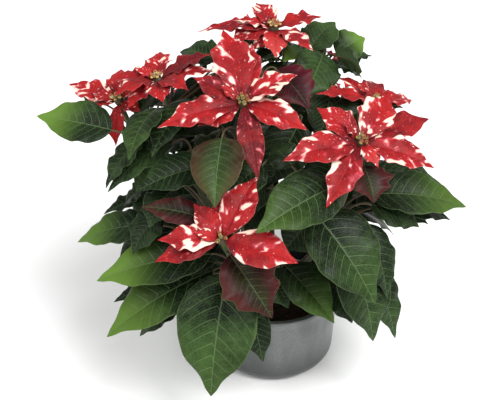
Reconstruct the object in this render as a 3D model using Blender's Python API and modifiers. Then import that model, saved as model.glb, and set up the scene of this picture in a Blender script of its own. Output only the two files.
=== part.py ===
"""A potted poinsettia with red bracts splashed in cream, in a plain grey pot.

Metres, +Z up, the origin at the centre of the pot's underside. The plant is a pinched one: a short
woody trunk carries ten leafy stems, and each stem ends in a flower head, which is a rosette of
coloured bracts round a cluster of small green and yellow cyathia.
"""

import math
from collections import namedtuple

import bmesh
import bpy
from mathutils import Quaternion, Vector
from mathutils.bvhtree import BVHTree

MM = 0.001
GAP = 0.3 * MM
WELD = 0.01 * MM

# Pot and soil
POT_HEIGHT = 90 * MM
POT_RIM_RADIUS = 72 * MM
POT_FOOT_RADIUS = 65 * MM
POT_FOOT_ROUND = 16 * MM
POT_WALL = 3 * MM
POT_LIP = 1.2 * MM
POT_LIP_HEIGHT = 5 * MM
POT_SIDES = 32
SOIL_TOP = 78 * MM
SOIL_RISE = 2 * MM
SOIL_BOTTOM = POT_WALL + GAP

# Trunk and stems
TRUNK_RADIUS = 7 * MM
TRUNK_FOOT = 52 * MM
TRUNK_TOP = 120 * MM
TRUNK_SIDES = 12
STEM_FOOT_RADIUS = 3.1 * MM
STEM_TOP_RADIUS = 2.4 * MM
STEM_START = 4 * MM
STEM_STEPS = 6

# Blades, petioles and heads
BLADE_THICKNESS = 0.8 * MM
CLEARANCE = 0.9 * MM
BLADE_TIP = 0.4 * MM
FOLD = math.radians(9)
PETIOLE_RADIUS = 1.3 * MM
HUB_RADIUS = 5 * MM
CYATHIA_FOOT = 3 * MM
CYATHIA_SPREAD = 7 * MM
CYATHIA_HEIGHT = 12 * MM
CYATHIUM_RADIUS = 2.3 * MM
CYATHIUM_COUNT = 6
PLAIN_STATIONS = (0.0, 0.15, 0.4, 0.7, 1.0)
TOOTHED_STATIONS = (0.0, 0.18, 0.42, 0.54, 0.66, 0.8, 1.0)
TEETH = (0.42, 0.66)
LEAF_FORM = (0.38, 0.6)
BRACT_FORM = (0.48, 1.05)
TOOTH_REACH = 0.1
HEXAGON = 1.16
ROOT_ROWS = 2
RULED_STATIONS = (0.0, 0.2, 0.6, 1.0)
ACROSS = (-1.0, 0.0, 1.0)
FLAT_ACROSS = (-1.0, 1.0)
FOLDED_LEAF = 45
FOLDED_BRACT = 25

# The crown: the dome that the leaves placed by rule stay in, and how many of them each stem has
CROWN_CENTRE = Vector((0.0, 0.045, 0.175))
CROWN_RADII = Vector((0.19, 0.2, 0.185))
CROWN_FOOT = 70 * MM
CROWN_FRONT = -40 * MM
GOLDEN_TURN = 137.5
LEAF_FAN = 220
RULED_LEAVES = {"a": 3, "b": 8, "c": 3, "d": 1, "e": 7, "f": 5, "g": 7, "j": 7, "h": 12, "i": 12}
RULED_LEAF = 108
HIDDEN_HEADS = "hi"
RING_TURNS = (0, 51, 103, 154, 206, 257, 309)
HIDDEN_TURNS = (-54, 0, 53)
BACK_BRACT = 56
SMALL_BRACT = 26
SMALL_TURN = 60

# The photograph's viewpoint. Places are read from it as (pixel x, pixel y, millimetres behind the
# pot's axis), in its frame of 500 by 400 pixels, and the pot stands on the origin.
VIEW_ELEVATION = math.radians(35)
VIEW_TARGET = Vector((-0.0255, 0.0, 0.199))
VIEW_DISTANCE = 1.6
VIEW_FOCAL = 1524
VIEW_CENTRE = (250, 200)
FORWARD = Vector((0, math.cos(VIEW_ELEVATION), -math.sin(VIEW_ELEVATION)))
RIGHT = Vector((1, 0, 0))
UP = RIGHT.cross(FORWARD)
EYE = VIEW_TARGET - VIEW_DISTANCE * FORWARD
CROWN_OUTLINE = (
    (200, 30), (260, 5), (330, 15), (365, 40), (362, 85), (432, 110), (436, 165), (460, 205),
    (398, 225), (392, 300), (330, 298), (200, 300), (112, 300), (104, 280), (84, 240), (128, 212),
    (112, 180), (122, 140), (48, 117), (76, 84), (150, 54),
)

# A head: its centre, the way it faces (across and behind for 1 up), and where its stem leaves the
# trunk (degrees round it from +X, and millimetres above the pot's underside).
Head = namedtuple("Head", "centre lean turn height")
HEADS = {
    "a": Head((243, 103, -30), (0.0, -0.45), -150, 112),
    "b": Head((274, 29, 75), (0.05, 0.0), 92, 104),
    "c": Head((361, 143, -55), (0.25, -0.35), -40, 104),
    "d": Head((222, 240, -125), (-0.15, -0.6), -110, 94),
    "e": Head((158, 80, 25), (-0.25, 0.0), 162, 108),
    "f": Head((119, 101, 35), (-0.3, -0.1), 186, 94),
    "g": Head((375, 104, 25), (0.3, 0.1), 10, 94),
    "j": Head((322, 50, 95), (0.25, 0.2), 50, 112),
    "h": Head((205, 88, 150), (-0.3, 0.5), 128, 94),
    "i": Head((345, 96, 160), (0.4, 0.5), 68, 92),
}

# A bract: the pixel of its tip, how far the tip stands above its head's plane, its width, its roll
# about its own length in degrees, whether its edge is toothed, and how far it arches.
Bract = namedtuple("Bract", "tip rise width roll toothed arch", defaults=(0.07,))
BRACTS = {
    "a": (
        Bract((223, 30), 6, 46, 0, True),
        Bract((252, 44), -2, 28, 0, False),
        Bract((297, 75), 14, 36, -20, False),
        Bract((307, 130), 0, 32, 0, False),
        Bract((258, 180), -16, 26, 0, False),
        Bract((158, 128), 0, 34, 0, True),
        Bract((198, 126), -8, 30, 0, False),
        Bract((194, 78), 4, 28, 0, False),
    ),
    "b": (
        Bract((256, 3), 4, 28, 0, True),
        Bract((198, 32), -4, 22, 0, False),
        Bract((234, 20), 8, 20, 0, True),
        Bract((322, 17), 4, 28, 0, True),
        Bract((228, 44), -10, 30, 0, False),
        Bract((276, 58), -6, 26, 0, False),
        Bract((254, 50), -12, 22, 0, False),
        Bract((313, 51), 0, 24, 0, False),
    ),
    "c": (
        Bract((283, 161), 0, 36, 0, False),
        Bract((326, 208), -14, 34, 0, True),
        Bract((317, 108), 4, 34, 0, False),
        Bract((388, 94), 6, 40, 0, True),
        Bract((429, 119), 0, 32, 0, False),
        Bract((434, 168), -4, 36, 0, False),
        Bract((378, 167), 2, 20, 0, False),
    ),
    "d": (
        Bract((257, 177), 8, 36, 0, False),
        Bract((194, 204), 12, 24, 0, False),
        Bract((222, 194), 0, 22, 0, False),
        Bract((158, 240), 10, 30, 0, True),
        Bract((155, 262), -2, 26, 0, False),
        Bract((298, 263), 4, 40, 0, False),
    ),
    "e": (
        Bract((160, 52), 6, 32, 0, True),
        Bract((214, 72), 0, 26, 0, False),
        Bract((212, 54), 2, 26, 0, False),
        Bract((110, 81), 4, 30, 0, True),
        Bract((128, 108), -8, 26, 0, False),
        Bract((114, 96), -6, 24, 0, False),
        Bract((163, 102), -6, 28, 0, False),
        Bract((188, 90), 0, 22, 0, False),
    ),
    "f": (
        Bract((69, 84), 6, 30, 0, False, 0.02),
        Bract((92, 92), 2, 22, 0, False),
        Bract((91, 105), -4, 22, 0, False),
        Bract((134, 86), 4, 22, 0, True),
        Bract((116, 146), -26, 22, 0, True),
        Bract((140, 112), -8, 18, 0, False),
    ),
    "g": (
        Bract((336, 77), 0, 26, 0, False),
        Bract((316, 94), 2, 24, 0, False),
    ),
    "j": (
        Bract((340, 33), 6, 18, 0, False),
        Bract((342, 63), -4, 14, 0, False),
    ),
    "h": (),
    "i": (),
}

# A leaf: its stem, where on the stem its petiole leaves it (0 at the trunk, 1 at the head), the
# places of its blade's base and tip, its width, its roll, whether its edge is toothed, and how far
# it arches.
Leaf = namedtuple("Leaf", "stem leaves_at base tip width roll toothed arch", defaults=(0.08,))
LEAVES = (
    Leaf("f", 0.75, (112, 130, 12), (37, 116, 20), 50, -12, False, 0.03),
    Leaf("f", 0.8, (104, 104, 66), (82, 96, 72), 30, 0, False),
    Leaf("e", 0.6, (172, 143, -15), (108, 192, -40), 40, 0, False),
    Leaf("e", 0.8, (157, 108, 0), (129, 160, -65), 40, 0, False),
    Leaf("e", 0.85, (194, 100, 0), (152, 157, -60), 44, 0, False),
    Leaf("d", 0.6, (207, 166, -50), (138, 191, -75), 48, 0, False),
    Leaf("a", 0.88, (222, 138, -60), (215, 208, -125), 54, 0, False),
    Leaf("d", 0.5, (150, 226, -40), (78, 242, -25), 44, 0, False),
    Leaf("d", 0.6, (160, 214, -60), (133, 254, -85), 40, 0, False),
    Leaf("d", 0.7, (172, 190, -60), (149, 228, -95), 40, 0, False),
    Leaf("d", 0.85, (205, 219, -95), (142, 207, -75), 30, 0, False),
    Leaf("d", 0.75, (211, 254, -90), (97, 281, -85), 60, 0, False),
    Leaf("d", 0.65, (214, 262, -80), (133, 272, -70), 36, 0, False),
    Leaf("d", 0.6, (213, 270, -85), (107, 337, -110), 64, 0, False),
    Leaf("d", 0.7, (227, 274, -100), (211, 396, -165), 84, 0, False),
    Leaf("d", 0.85, (230, 255, -120), (272, 318, -155), 64, 0, True),
    Leaf("d", 0.5, (250, 302, -80), (263, 362, -105), 32, 0, False),
    Leaf("c", 0.6, (335, 186, -85), (256, 233, -150), 60, 0, False),
    Leaf("c", 0.5, (314, 213, -80), (375, 304, -130), 76, 0, False),
    Leaf("c", 0.4, (345, 240, -70), (373, 341, -115), 66, 0, False),
    Leaf("c", 0.4, (364, 262, -50), (395, 338, -85), 42, 0, False),
    Leaf("c", 0.5, (364, 224, -60), (387, 298, -85), 40, 0, False),
    Leaf("c", 0.55, (370, 194, -35), (466, 207, -25), 58, 0, False),
    Leaf("c", 0.5, (372, 205, -45), (419, 227, -50), 44, 0, False),
    Leaf("c", 0.45, (322, 208, -55), (284, 252, -65), 52, 0, False),
    Leaf("g", 0.7, (385, 170, -10), (430, 188, -5), 34, 0, False),
    Leaf("c", 0.88, (364, 166, -70), (374, 203, -100), 50, 0, True),
    Leaf("c", 0.3, (284, 265, -75), (334, 323, -115), 46, 0, False),
    Leaf("c", 0.3, (268, 270, -80), (288, 308, -100), 36, 0, False),
    Leaf("c", 0.3, (328, 280, -60), (352, 323, -85), 40, 0, False),
    Leaf("j", 0.8, (323, 54, 75), (303, 98, 20), 50, 0, False),
    Leaf("j", 0.62, (331, 60, 78), (346, 96, 45), 44, 0, False),
    Leaf("b", 0.85, (310, 50, 80), (335, 22, 115), 42, 0, False),
    Leaf("b", 0.8, (304, 50, 70), (283, 62, 45), 24, 0, False),
    Leaf("a", 0.92, (277, 70, 5), (309, 109, -30), 54, 0, True),
    Leaf("j", 0.88, (336, 53, 90), (365, 38, 110), 38, 40, False),
    Leaf("j", 0.7, (336, 56, 85), (362, 72, 75), 40, -40, False),
    Leaf("g", 0.85, (352, 104, 20), (403, 108, 30), 30, 0, False),
    Leaf("e", 0.9, (216, 60, 45), (180, 52, 70), 40, 0, False),
    Leaf("e", 0.9, (165, 72, 50), (141, 68, 60), 20, 0, False),
    Leaf("a", 0.6, (262, 165, -50), (225, 200, -75), 44, 0, False),
    Leaf("a", 0.6, (292, 166, -50), (271, 145, -30), 34, 0, False),
    Leaf("b", 0.8, (277, 52, 60), (238, 78, 40), 46, 0, False),
    Leaf("b", 0.7, (284, 62, 60), (262, 104, 30), 46, 0, False),
    Leaf("j", 0.6, (330, 92, 40), (318, 140, 0), 52, 0, False),
    Leaf("a", 0.7, (300, 122, 0), (268, 186, -30), 54, 0, False),
    Leaf("e", 0.85, (178, 88, 50), (216, 112, 20), 44, 0, False),
    Leaf("e", 0.8, (160, 92, 40), (134, 122, 20), 44, 0, False),
    Leaf("f", 0.8, (124, 108, 50), (146, 84, 60), 34, 0, False),
    Leaf("c", 0.72, (346, 160, -10), (300, 196, -40), 50, 0, False),
    Leaf("d", 0.6, (232, 232, -50), (200, 276, -60), 48, 0, False),
    Leaf("g", 0.8, (368, 108, 30), (330, 130, 10), 44, 0, False),
    Leaf("a", 0.5, (222, 120, 10), (176, 136, 0), 46, 0, False),
    Leaf("b", 0.75, (290, 48, 90), (250, 44, 80), 40, 0, False),
    Leaf("a", 0.4, (262, 176, -20), (240, 214, -40), 46, 0, False),
)


def sight_line(pixel):
    """The direction in which the photograph's viewpoint sees a pixel."""
    across = pixel[0] - VIEW_CENTRE[0]
    down = pixel[1] - VIEW_CENTRE[1]
    return FORWARD * VIEW_FOCAL + RIGHT * across - UP * down


def pixel_of(point):
    """The pixel at which the photograph's viewpoint sees a point."""
    line = point - EYE
    scale = VIEW_FOCAL / line.dot(FORWARD)
    return VIEW_CENTRE[0] + line.dot(RIGHT) * scale, VIEW_CENTRE[1] - line.dot(UP) * scale


def seen(place):
    """The point of a place given as (pixel x, pixel y, millimetres behind the pot's axis)."""
    line = sight_line(place[:2])
    return EYE + line * ((place[2] * MM - EYE.y) / line.y)


def seen_on_plane(pixel, point, normal):
    """The point where a pixel's line of sight meets a plane."""
    line = sight_line(pixel)
    return EYE + line * ((point - EYE).dot(normal) / line.dot(normal))


def outline(t, form, toothed):
    """Half-width of a blade at t along its midrib, for a greatest half-width of 1."""
    widest, root_power = form
    tip_power = root_power * (1 - widest) / widest
    half = (t / widest) ** root_power * ((1 - t) / (1 - widest)) ** tip_power
    if toothed:
        near = min(abs(t - tooth) for tooth in TEETH)
        half = half * 0.84 + 0.26 * max(0.0, 1 - near / TOOTH_REACH) * (1.2 - t)
    return half


class Blade:
    """One leaf or bract: a thin sheet along its arched midrib, and a leaf's narrow petiole."""

    def __init__(self, node, root, base, tip, facing, width, roll, toothed, arch):
        self.node = node
        self.root = root
        self.base = base
        self.tip = tip
        self.toothed = toothed
        chord = tip - base
        along = chord.normalized()
        normal = (facing - along * facing.dot(along)).normalized()
        normal = Quaternion(along, math.radians(roll)) @ normal
        self.length = chord.length
        self.along = along
        self.normal = normal
        self.half_width = width * MM / 2
        self.arch = arch
        self.form = BRACT_FORM if root is None else LEAF_FORM
        self.stations = TOOTHED_STATIONS if toothed else PLAIN_STATIONS
        folded = width > (FOLDED_BRACT if root is None else FOLDED_LEAF)
        self.across = ACROSS if folded else FLAT_ACROSS

    def midrib(self, t):
        """The midrib's point at t and the blade's normal there."""
        point = self.base + self.along * (self.length * t)
        point = point + self.normal * (self.arch * self.length * 4 * t * (1 - t))
        normal = self.normal - self.along * (self.arch * 4 * (1 - 2 * t))
        return point, normal.normalized()

    def petiole(self):
        """The petiole's points, from its stem to just short of the blade."""
        bend = self.base - self.along * ((self.base - self.root).length * 0.35)
        middle = self.root.lerp(bend, 0.5).lerp(bend.lerp(self.base, 0.5), 0.5)
        return [self.root, middle, self.base]

    def sheet(self, lift=0.0):
        """The rows of points from the petiole's root to the blade's tip, raised by lift."""
        side = self.along.cross(self.normal)
        rows = []
        for t in self.stations:
            point, normal = self.midrib(t)
            half = self.half_width * outline(t, self.form, self.toothed)
            half = max(half, PETIOLE_RADIUS * (1 - t), BLADE_TIP)
            rows.append(self.row(point, side, normal, half, lift))
        if self.root is not None:
            path = self.petiole()
            for point, after in reversed(list(zip(path, path[1:]))):
                ahead = (after - point).normalized()
                side = (side - ahead * side.dot(ahead)).normalized()
                rows.insert(0, self.row(point, side, side.cross(ahead), PETIOLE_RADIUS, lift))
        return rows

    def row(self, middle, side, normal, half, lift):
        """Points across the blade, folded up from its midrib."""
        points = []
        for u in self.across:
            out = side * (u * half * math.cos(FOLD))
            up = normal * (abs(u) * half * math.sin(FOLD) + lift)
            points.append(middle + out + up)
        return points

    def shell(self, first=0):
        """A closed shell, from a first row on, that holds the blade and its clearance."""
        lift = BLADE_THICKNESS / 2 + CLEARANCE
        rows = self.sheet(lift)[first:]
        over, faces = strip(rows)
        under = strip(self.sheet(-lift)[first:])[0]
        count, columns = len(over), len(rows[0])
        left = list(range(0, count, columns))
        right = [i + columns - 1 for i in left]
        edge = left + list(range(count - columns + 1, count)) + right[-2::-1]
        edge += list(range(columns - 2, 0, -1))
        rim = []
        for a, b in zip(edge, edge[1:] + edge[:1]):
            rim += [[a, b, b + count], [a, b + count, a + count]]
        return over + under, faces + [[i + count for i in face] for face in faces] + rim


def strip(rows):
    """The points and triangles of a sheet, split alike on both sides of its midrib."""
    columns = len(rows[0])
    faces = []
    for row in range(len(rows) - 1):
        for column in range(columns - 1):
            a = row * columns + column
            b, c, d = a + 1, a + columns, a + columns + 1
            if column < columns // 2:
                faces += [[a, b, d], [a, d, c]]
            else:
                faces += [[a, b, c], [b, d, c]]
    return [point for row in rows for point in row], faces


def tube_shell(path, radii):
    """A six-sided tube that holds a round one and its clearance, for the crossing test."""
    rings = []
    for i, centre in enumerate(path):
        ahead = (path[min(i + 1, len(path) - 1)] - path[max(i - 1, 0)]).normalized()
        aside = ahead.orthogonal().normalized() * (radii[i] * HEXAGON + CLEARANCE)
        turns = [Quaternion(ahead, math.radians(60 * k)) for k in range(6)]
        rings.append([centre + turn @ aside for turn in turns])
    return ring_shell(rings)


def ring_shell(rings):
    """The points and triangles of a surface through rings of points."""
    sides = len(rings[0])
    faces = []
    for ring in range(len(rings) - 1):
        for i in range(sides):
            a, b = ring * sides + i, ring * sides + (i + 1) % sides
            faces += [[a, b, b + sides], [a, b + sides, a + sides]]
    return [point for ring in rings for point in ring], faces


class Obstacles:
    """What is placed so far, for the test that no two nodes cross."""

    def __init__(self):
        self.placed = []
        self.blades = []

    def add(self, node, shell):
        points, triangles = shell
        self.placed.append((node, BVHTree.FromPolygons(points, triangles), limits_of(points)))

    def add_blade(self, blade):
        self.add(blade.node, blade.shell())
        points, triangles = blade.shell(ROOT_ROWS)
        self.blades.append((blade.node, BVHTree.FromPolygons(points, triangles), limits_of(points)))

    def clear_of_others(self, node, shell):
        """Whether a shell crosses nothing of another node."""
        return not crosses(shell, [item for item in self.placed if item[0] != node])

    def clear_of_siblings(self, blade):
        """Whether a blade crosses no other blade of its own node, but for their roots."""
        siblings = [item for item in self.blades if item[0] == blade.node]
        return not crosses(blade.shell(ROOT_ROWS), siblings)

    def first_clear(self, candidates):
        """The first candidate that crosses nothing, or else the first that only meets siblings."""
        second_best = None
        for blade in candidates:
            if not self.clear_of_others(blade.node, blade.shell()):
                continue
            if self.clear_of_siblings(blade):
                self.add_blade(blade)
                return blade
            second_best = second_best or blade
        if second_best is not None:
            self.add_blade(second_best)
        return second_best


def limits_of(points):
    """The least and greatest corner of some points."""
    low = [min(point[axis] for point in points) for axis in range(3)]
    high = [max(point[axis] for point in points) for axis in range(3)]
    return low, high


def crosses(shell, placed):
    points, triangles = shell
    tree = BVHTree.FromPolygons(points, triangles)
    low, high = limits_of(points)
    for _, other, (other_low, other_high) in placed:
        if any(low[axis] > other_high[axis] or other_low[axis] > high[axis] for axis in range(3)):
            continue
        if tree.overlap(other):
            return True
    return False


def nearer_first(step, furthest):
    """Shifts of 0, then of whole steps each way, in millimetres."""
    shifts = [0]
    for shift in range(step, furthest + 1, step):
        shifts += [-shift, shift]
    return shifts


def slid(point, shift):
    """A point moved along its own line of sight, so that it looks the same in the photograph."""
    return point + (point - EYE).normalized() * shift * MM


def head_place(head):
    """A head's centre and the direction it faces."""
    return seen(head.centre), Vector((head.lean[0], head.lean[1], 1)).normalized()


def stem_path(head):
    """A stem's points: it leaves the trunk level, then turns up into its head."""
    centre, facing = head_place(head)
    turn = math.radians(head.turn)
    outward = Vector((math.cos(turn), math.sin(turn), 0))
    foot = outward * (TRUNK_RADIUS + GAP) + Vector((0, 0, head.height * MM))
    start = foot + outward * STEM_START
    end = centre - facing * (HUB_RADIUS + GAP)
    pull = (end - start).length * 0.38
    second = start + (outward * 0.8 + Vector((0, 0, 0.6))) * pull
    third = end - facing * pull
    points = [foot]
    for i in range(STEM_STEPS + 1):
        t = i / STEM_STEPS
        near = start * (1 - t) ** 3 + second * 3 * t * (1 - t) ** 2
        points.append(near + third * 3 * t * t * (1 - t) + end * t**3)
    return points


def stem_radii(path):
    """A stem's radius at each of its points."""
    share = [i / (len(path) - 1) for i in range(len(path))]
    return [STEM_FOOT_RADIUS + (STEM_TOP_RADIUS - STEM_FOOT_RADIUS) * t for t in share]


def along_path(path, t):
    """The point at a share t of a path's steps."""
    place = t * (len(path) - 1)
    i = min(int(place), len(path) - 2)
    return path[i].lerp(path[i + 1], place - i)


def seen_bracts(key, bract):
    """A bract as it is seen, then with its tip slid along the line of sight."""
    centre, facing = head_place(HEADS[key])
    tip = seen_on_plane(bract.tip, centre + facing * bract.rise * MM, facing)
    for shift in nearer_first(4, 48):
        yield bract_to(key, slid(tip, shift), *bract[2:])


def bract_to(key, tip, width, roll, toothed, arch):
    """A bract that grows from inside its head's hub."""
    centre, facing = head_place(HEADS[key])
    base = centre + (tip - centre).normalized() * HUB_RADIUS * 0.6
    return Blade("bracts_" + key, None, base, tip, facing, width, roll, toothed, arch)


def level_in(key, turn):
    """The direction in a head's plane at a turn in degrees, with 0 away from the viewpoint."""
    facing = head_place(HEADS[key])[1]
    behind = Vector((0, 1, 0)) - facing * facing.y
    return Quaternion(facing, math.radians(turn)) @ behind.normalized()


def ruled(blade):
    """A blade placed by rule is plainer: flat, and with fewer stations."""
    blade.across = FLAT_ACROSS
    blade.stations = RULED_STATIONS
    return blade


def ruled_bracts(key, turn, length, rise):
    """A bract placed by rule, swung or lifted until it is clear."""
    centre, facing = head_place(HEADS[key])
    for lift in nearer_first(6, 24):
        for swing in nearer_first(8, 16):
            level = level_in(key, turn + swing)
            tip = centre + level * length * MM + facing * (rise + lift) * MM
            blade = bract_to(key, tip, length * 0.48, 0, False, 0.07)
            yield ruled(blade)


def seen_leaves(leaf, path):
    """A leaf as it is seen, then with its ends slid along the line of sight."""
    base, tip = seen(leaf.base), seen(leaf.tip)
    outward = (base + tip) / 2 - CROWN_CENTRE
    outward.z = 0
    facing = outward.normalized() * 0.6 + Vector((0, 0, 1))
    shifts = [(near, far) for near in nearer_first(6, 18) for far in nearer_first(6, 36)]
    shifts.sort(key=lambda pair: abs(pair[0]) * 1.4 + abs(pair[1]))
    node = "leaves_" + leaf.stem
    for near, far in shifts:
        for slip in (0.0, -0.12, 0.08):
            root = along_path(path, min(leaf.leaves_at + slip, 0.95))
            ends = slid(base, near), slid(tip, far)
            yield Blade(node, root, *ends, facing, *leaf[4:8])


def ruled_leaves(key, path, share, turn, length):
    """A leaf placed by rule inside the crown, swung and lowered until it is clear."""
    root = along_path(path, share)
    for slope in (-22, -8, -36, 6, -50):
        for swing in nearer_first(12, 36):
            angle = math.radians(turn + swing)
            drop = math.radians(slope)
            level = Vector((math.cos(angle), math.sin(angle), 0))
            ahead = level * math.cos(drop) + Vector((0, 0, math.sin(drop)))
            base = root + (level * 0.8 + Vector((0, 0, 0.3))) * length * 0.4 * MM
            tip = base + ahead * length * MM
            facing = Vector((0, 0, 1)) + level * 0.3
            blade = Blade("leaves_" + key, root, base, tip, facing, length / 2, 0, False, 0.08)
            if inside_crown(blade):
                yield ruled(blade)


def inside_crown(blade):
    """Whether a leaf stays in the dome and shows nowhere past the photographed plant's outline."""
    offset = blade.tip - CROWN_CENTRE
    if sum((offset[axis] / CROWN_RADII[axis]) ** 2 for axis in range(3)) > 1:
        return False
    if blade.tip.y < CROWN_FRONT or blade.tip.z < CROWN_FOOT:
        return False
    points = [point for row in blade.sheet()[ROOT_ROWS:] for point in row]
    return all(in_outline(pixel_of(point)) for point in points)


def in_outline(pixel):
    """Whether a pixel lies inside the crown's outline, by counting the edges to one side of it."""
    inside = False
    for first, second in zip(CROWN_OUTLINE, CROWN_OUTLINE[1:] + CROWN_OUTLINE[:1]):
        if (first[1] > pixel[1]) != (second[1] > pixel[1]):
            share = (pixel[1] - first[1]) / (second[1] - first[1])
            if pixel[0] < first[0] + share * (second[0] - first[0]):
                inside = not inside
    return inside


def pot_shell():
    """The pot's outside, its rim and the soil, with their clearance, for the crossing test."""
    sides = 24
    out = 1 / math.cos(math.pi / sides)
    inside = wall_radius(SOIL_TOP) - POT_WALL - CLEARANCE
    soil = SOIL_TOP + SOIL_RISE + CLEARANCE
    profile = (
        (GAP, soil),
        (inside, soil),
        (inside, POT_HEIGHT + CLEARANCE),
        ((POT_RIM_RADIUS + CLEARANCE) * out, POT_HEIGHT + CLEARANCE),
        ((POT_RIM_RADIUS + CLEARANCE) * out, POT_HEIGHT - POT_LIP_HEIGHT),
        ((POT_FOOT_RADIUS + CLEARANCE) * out, 0),
    )
    angles = [2 * math.pi * i / sides for i in range(sides)]
    return ring_shell(
        [
            [Vector((radius * math.cos(a), radius * math.sin(a), height)) for a in angles]
            for radius, height in profile
        ]
    )


def place_heads(obstacles):
    """The hubs and the clusters of cyathia, as tubes that the blades keep clear of."""
    for key, head in HEADS.items():
        centre, facing = head_place(head)
        hub = [centre + facing * share * HUB_RADIUS for share in (-1, -0.7, 0, 0.7, 1)]
        widths = [HUB_RADIUS * share for share in (0.1, 0.72, 1, 0.72, 0.1)]
        obstacles.add("bracts_" + key, tube_shell(hub, widths))
        foot = centre + facing * (HUB_RADIUS + GAP)
        cluster = [foot, foot + facing * CYATHIA_HEIGHT]
        obstacles.add("cyathia_" + key, tube_shell(cluster, [CYATHIA_FOOT, CYATHIA_SPREAD]))


def grow():
    """The stems' paths, and all the blades, each clear of every node but its own."""
    obstacles = Obstacles()
    paths = {key: stem_path(head) for key, head in HEADS.items()}
    for key, path in paths.items():
        obstacles.add("leaves_" + key, tube_shell(path, stem_radii(path)))
    obstacles.add("pot", pot_shell())
    trunk = [Vector((0, 0, TRUNK_FOOT)), Vector((0, 0, TRUNK_TOP + GAP))]
    obstacles.add("trunk", tube_shell(trunk, [TRUNK_RADIUS, TRUNK_RADIUS]))
    place_heads(obstacles)
    blades = []
    for key, row in BRACTS.items():
        blades += [obstacles.first_clear(seen_bracts(key, bract)) for bract in row]
    for leaf in LEAVES:
        blades.append(obstacles.first_clear(seen_leaves(leaf, paths[leaf.stem])))
    blades = [blade for blade in blades if blade is not None]
    for key in HEADS:
        turns = RING_TURNS if key in HIDDEN_HEADS else HIDDEN_TURNS
        for turn in turns:
            level = level_in(key, turn)
            if not any(b.node == "bracts_" + key and b.along.dot(level) > 0.8 for b in blades):
                blades.append(obstacles.first_clear(ruled_bracts(key, turn, BACK_BRACT, 0)))
        blades.append(obstacles.first_clear(ruled_bracts(key, SMALL_TURN, SMALL_BRACT, 12)))
    for key, path in paths.items():
        for i in range(RULED_LEAVES[key]):
            rank = (i + 0.5) / RULED_LEAVES[key]
            turn = HEADS[key].turn + i * GOLDEN_TURN % LEAF_FAN - LEAF_FAN / 2
            length = RULED_LEAF * (1 - 0.35 * rank)
            found = ruled_leaves(key, path, 0.3 + 0.6 * rank, turn, length)
            blades.append(obstacles.first_clear(found))
    return paths, [blade for blade in blades if blade is not None]


def add_material(name, colour, roughness):
    made = bpy.data.materials.new(name)
    made.use_nodes = True
    finish = made.node_tree.nodes["Principled BSDF"]
    finish.inputs["Base Color"].default_value = (*colour, 1)
    finish.inputs["Roughness"].default_value = roughness
    finish.inputs["Metallic"].default_value = 0
    return made


def add_collection(name):
    made = bpy.data.collections.new(name)
    bpy.context.scene.collection.children.link(made)
    return made


def add_object(name, data, collection, material=None):
    """An object of a mesh or curve, in a collection."""
    made = bpy.data.objects.new(name, data)
    collection.objects.link(made)
    if material is not None:
        data.materials.append(material)
    return made


def mesh_of(made):
    """A new mesh of an object with its modifiers, and the object removed."""
    graph = bpy.context.evaluated_depsgraph_get()
    mesh = bpy.data.meshes.new_from_object(made.evaluated_get(graph))
    mesh.transform(made.matrix_world)
    bpy.data.objects.remove(made)
    return mesh


def weld(mesh, distance):
    work = bmesh.new()
    work.from_mesh(mesh)
    bmesh.ops.remove_doubles(work, verts=work.verts, dist=distance)
    work.to_mesh(mesh)
    work.free()


def add_tube(name, path, radii, collection):
    """A tube along a path, as a mesh with its caps welded."""
    curve = bpy.data.curves.new(name, "CURVE")
    curve.dimensions = "3D"
    curve.bevel_depth = radii[0]
    curve.bevel_resolution = 1
    curve.use_fill_caps = True
    spline = curve.splines.new("POLY")
    spline.points.add(len(path) - 1)
    for point, place, radius in zip(spline.points, path, radii):
        point.co = (*place, 1)
        point.radius = radius / radii[0]
    mesh = mesh_of(add_object(name, curve, collection))
    weld(mesh, WELD)
    return add_object(name, mesh, collection)


def add_blade(blade, collection):
    """A blade as a thin lofted sheet, thickened evenly on both sides."""
    points, triangles = strip(blade.sheet())
    mesh = bpy.data.meshes.new(blade.node)
    mesh.from_pydata(points, [], triangles)
    made = add_object(blade.node, mesh, collection)
    thickness = made.modifiers.new("Thickness", "SOLIDIFY")
    thickness.thickness = BLADE_THICKNESS
    thickness.offset = 0
    return made


def add_ball(name, centre, facing, radii, sides, collection):
    """A coarse ball, stretched along the direction it faces."""
    mesh = bpy.data.meshes.new(name)
    work = bmesh.new()
    bmesh.ops.create_uvsphere(work, u_segments=sides, v_segments=sides // 2 + 1, radius=1)
    work.to_mesh(mesh)
    work.free()
    made = add_object(name, mesh, collection)
    made.scale = radii
    made.location = centre
    made.rotation_mode = "QUATERNION"
    made.rotation_quaternion = Vector((0, 0, 1)).rotation_difference(facing)
    return made


def join(name, pieces, group, parts, material):
    """One solid from pieces that overlap: a union, with loose scraps and sealed hollows gone."""
    first = pieces[0]
    group.objects.unlink(first)
    parts.objects.link(first)
    union = first.modifiers.new("Union", "BOOLEAN")
    union.operation = "UNION"
    union.operand_type = "COLLECTION"
    union.collection = group
    union.solver = "MANIFOLD"  # EXACT leaves edges with four faces on the thin blades
    bpy.context.view_layer.update()
    mesh = mesh_of(first)
    mesh.name = name
    for piece in list(group.objects):
        bpy.data.objects.remove(piece)
    keep_largest(mesh)
    mesh.materials.clear()
    return add_object(name, mesh, parts, material)


def keep_largest(mesh):
    """Keeps the body with the most faces."""
    work = bmesh.new()
    work.from_mesh(mesh)
    unseen = set(work.verts)
    bodies = []
    while unseen:
        body = [unseen.pop()]
        for vertex in body:
            for edge in vertex.link_edges:
                other = edge.other_vert(vertex)
                if other in unseen:
                    unseen.remove(other)
                    body.append(other)
        bodies.append(body)
    bodies.sort(key=len)
    for body in bodies[:-1]:
        bmesh.ops.delete(work, geom=body, context="VERTS")
    work.to_mesh(mesh)
    work.free()


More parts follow.
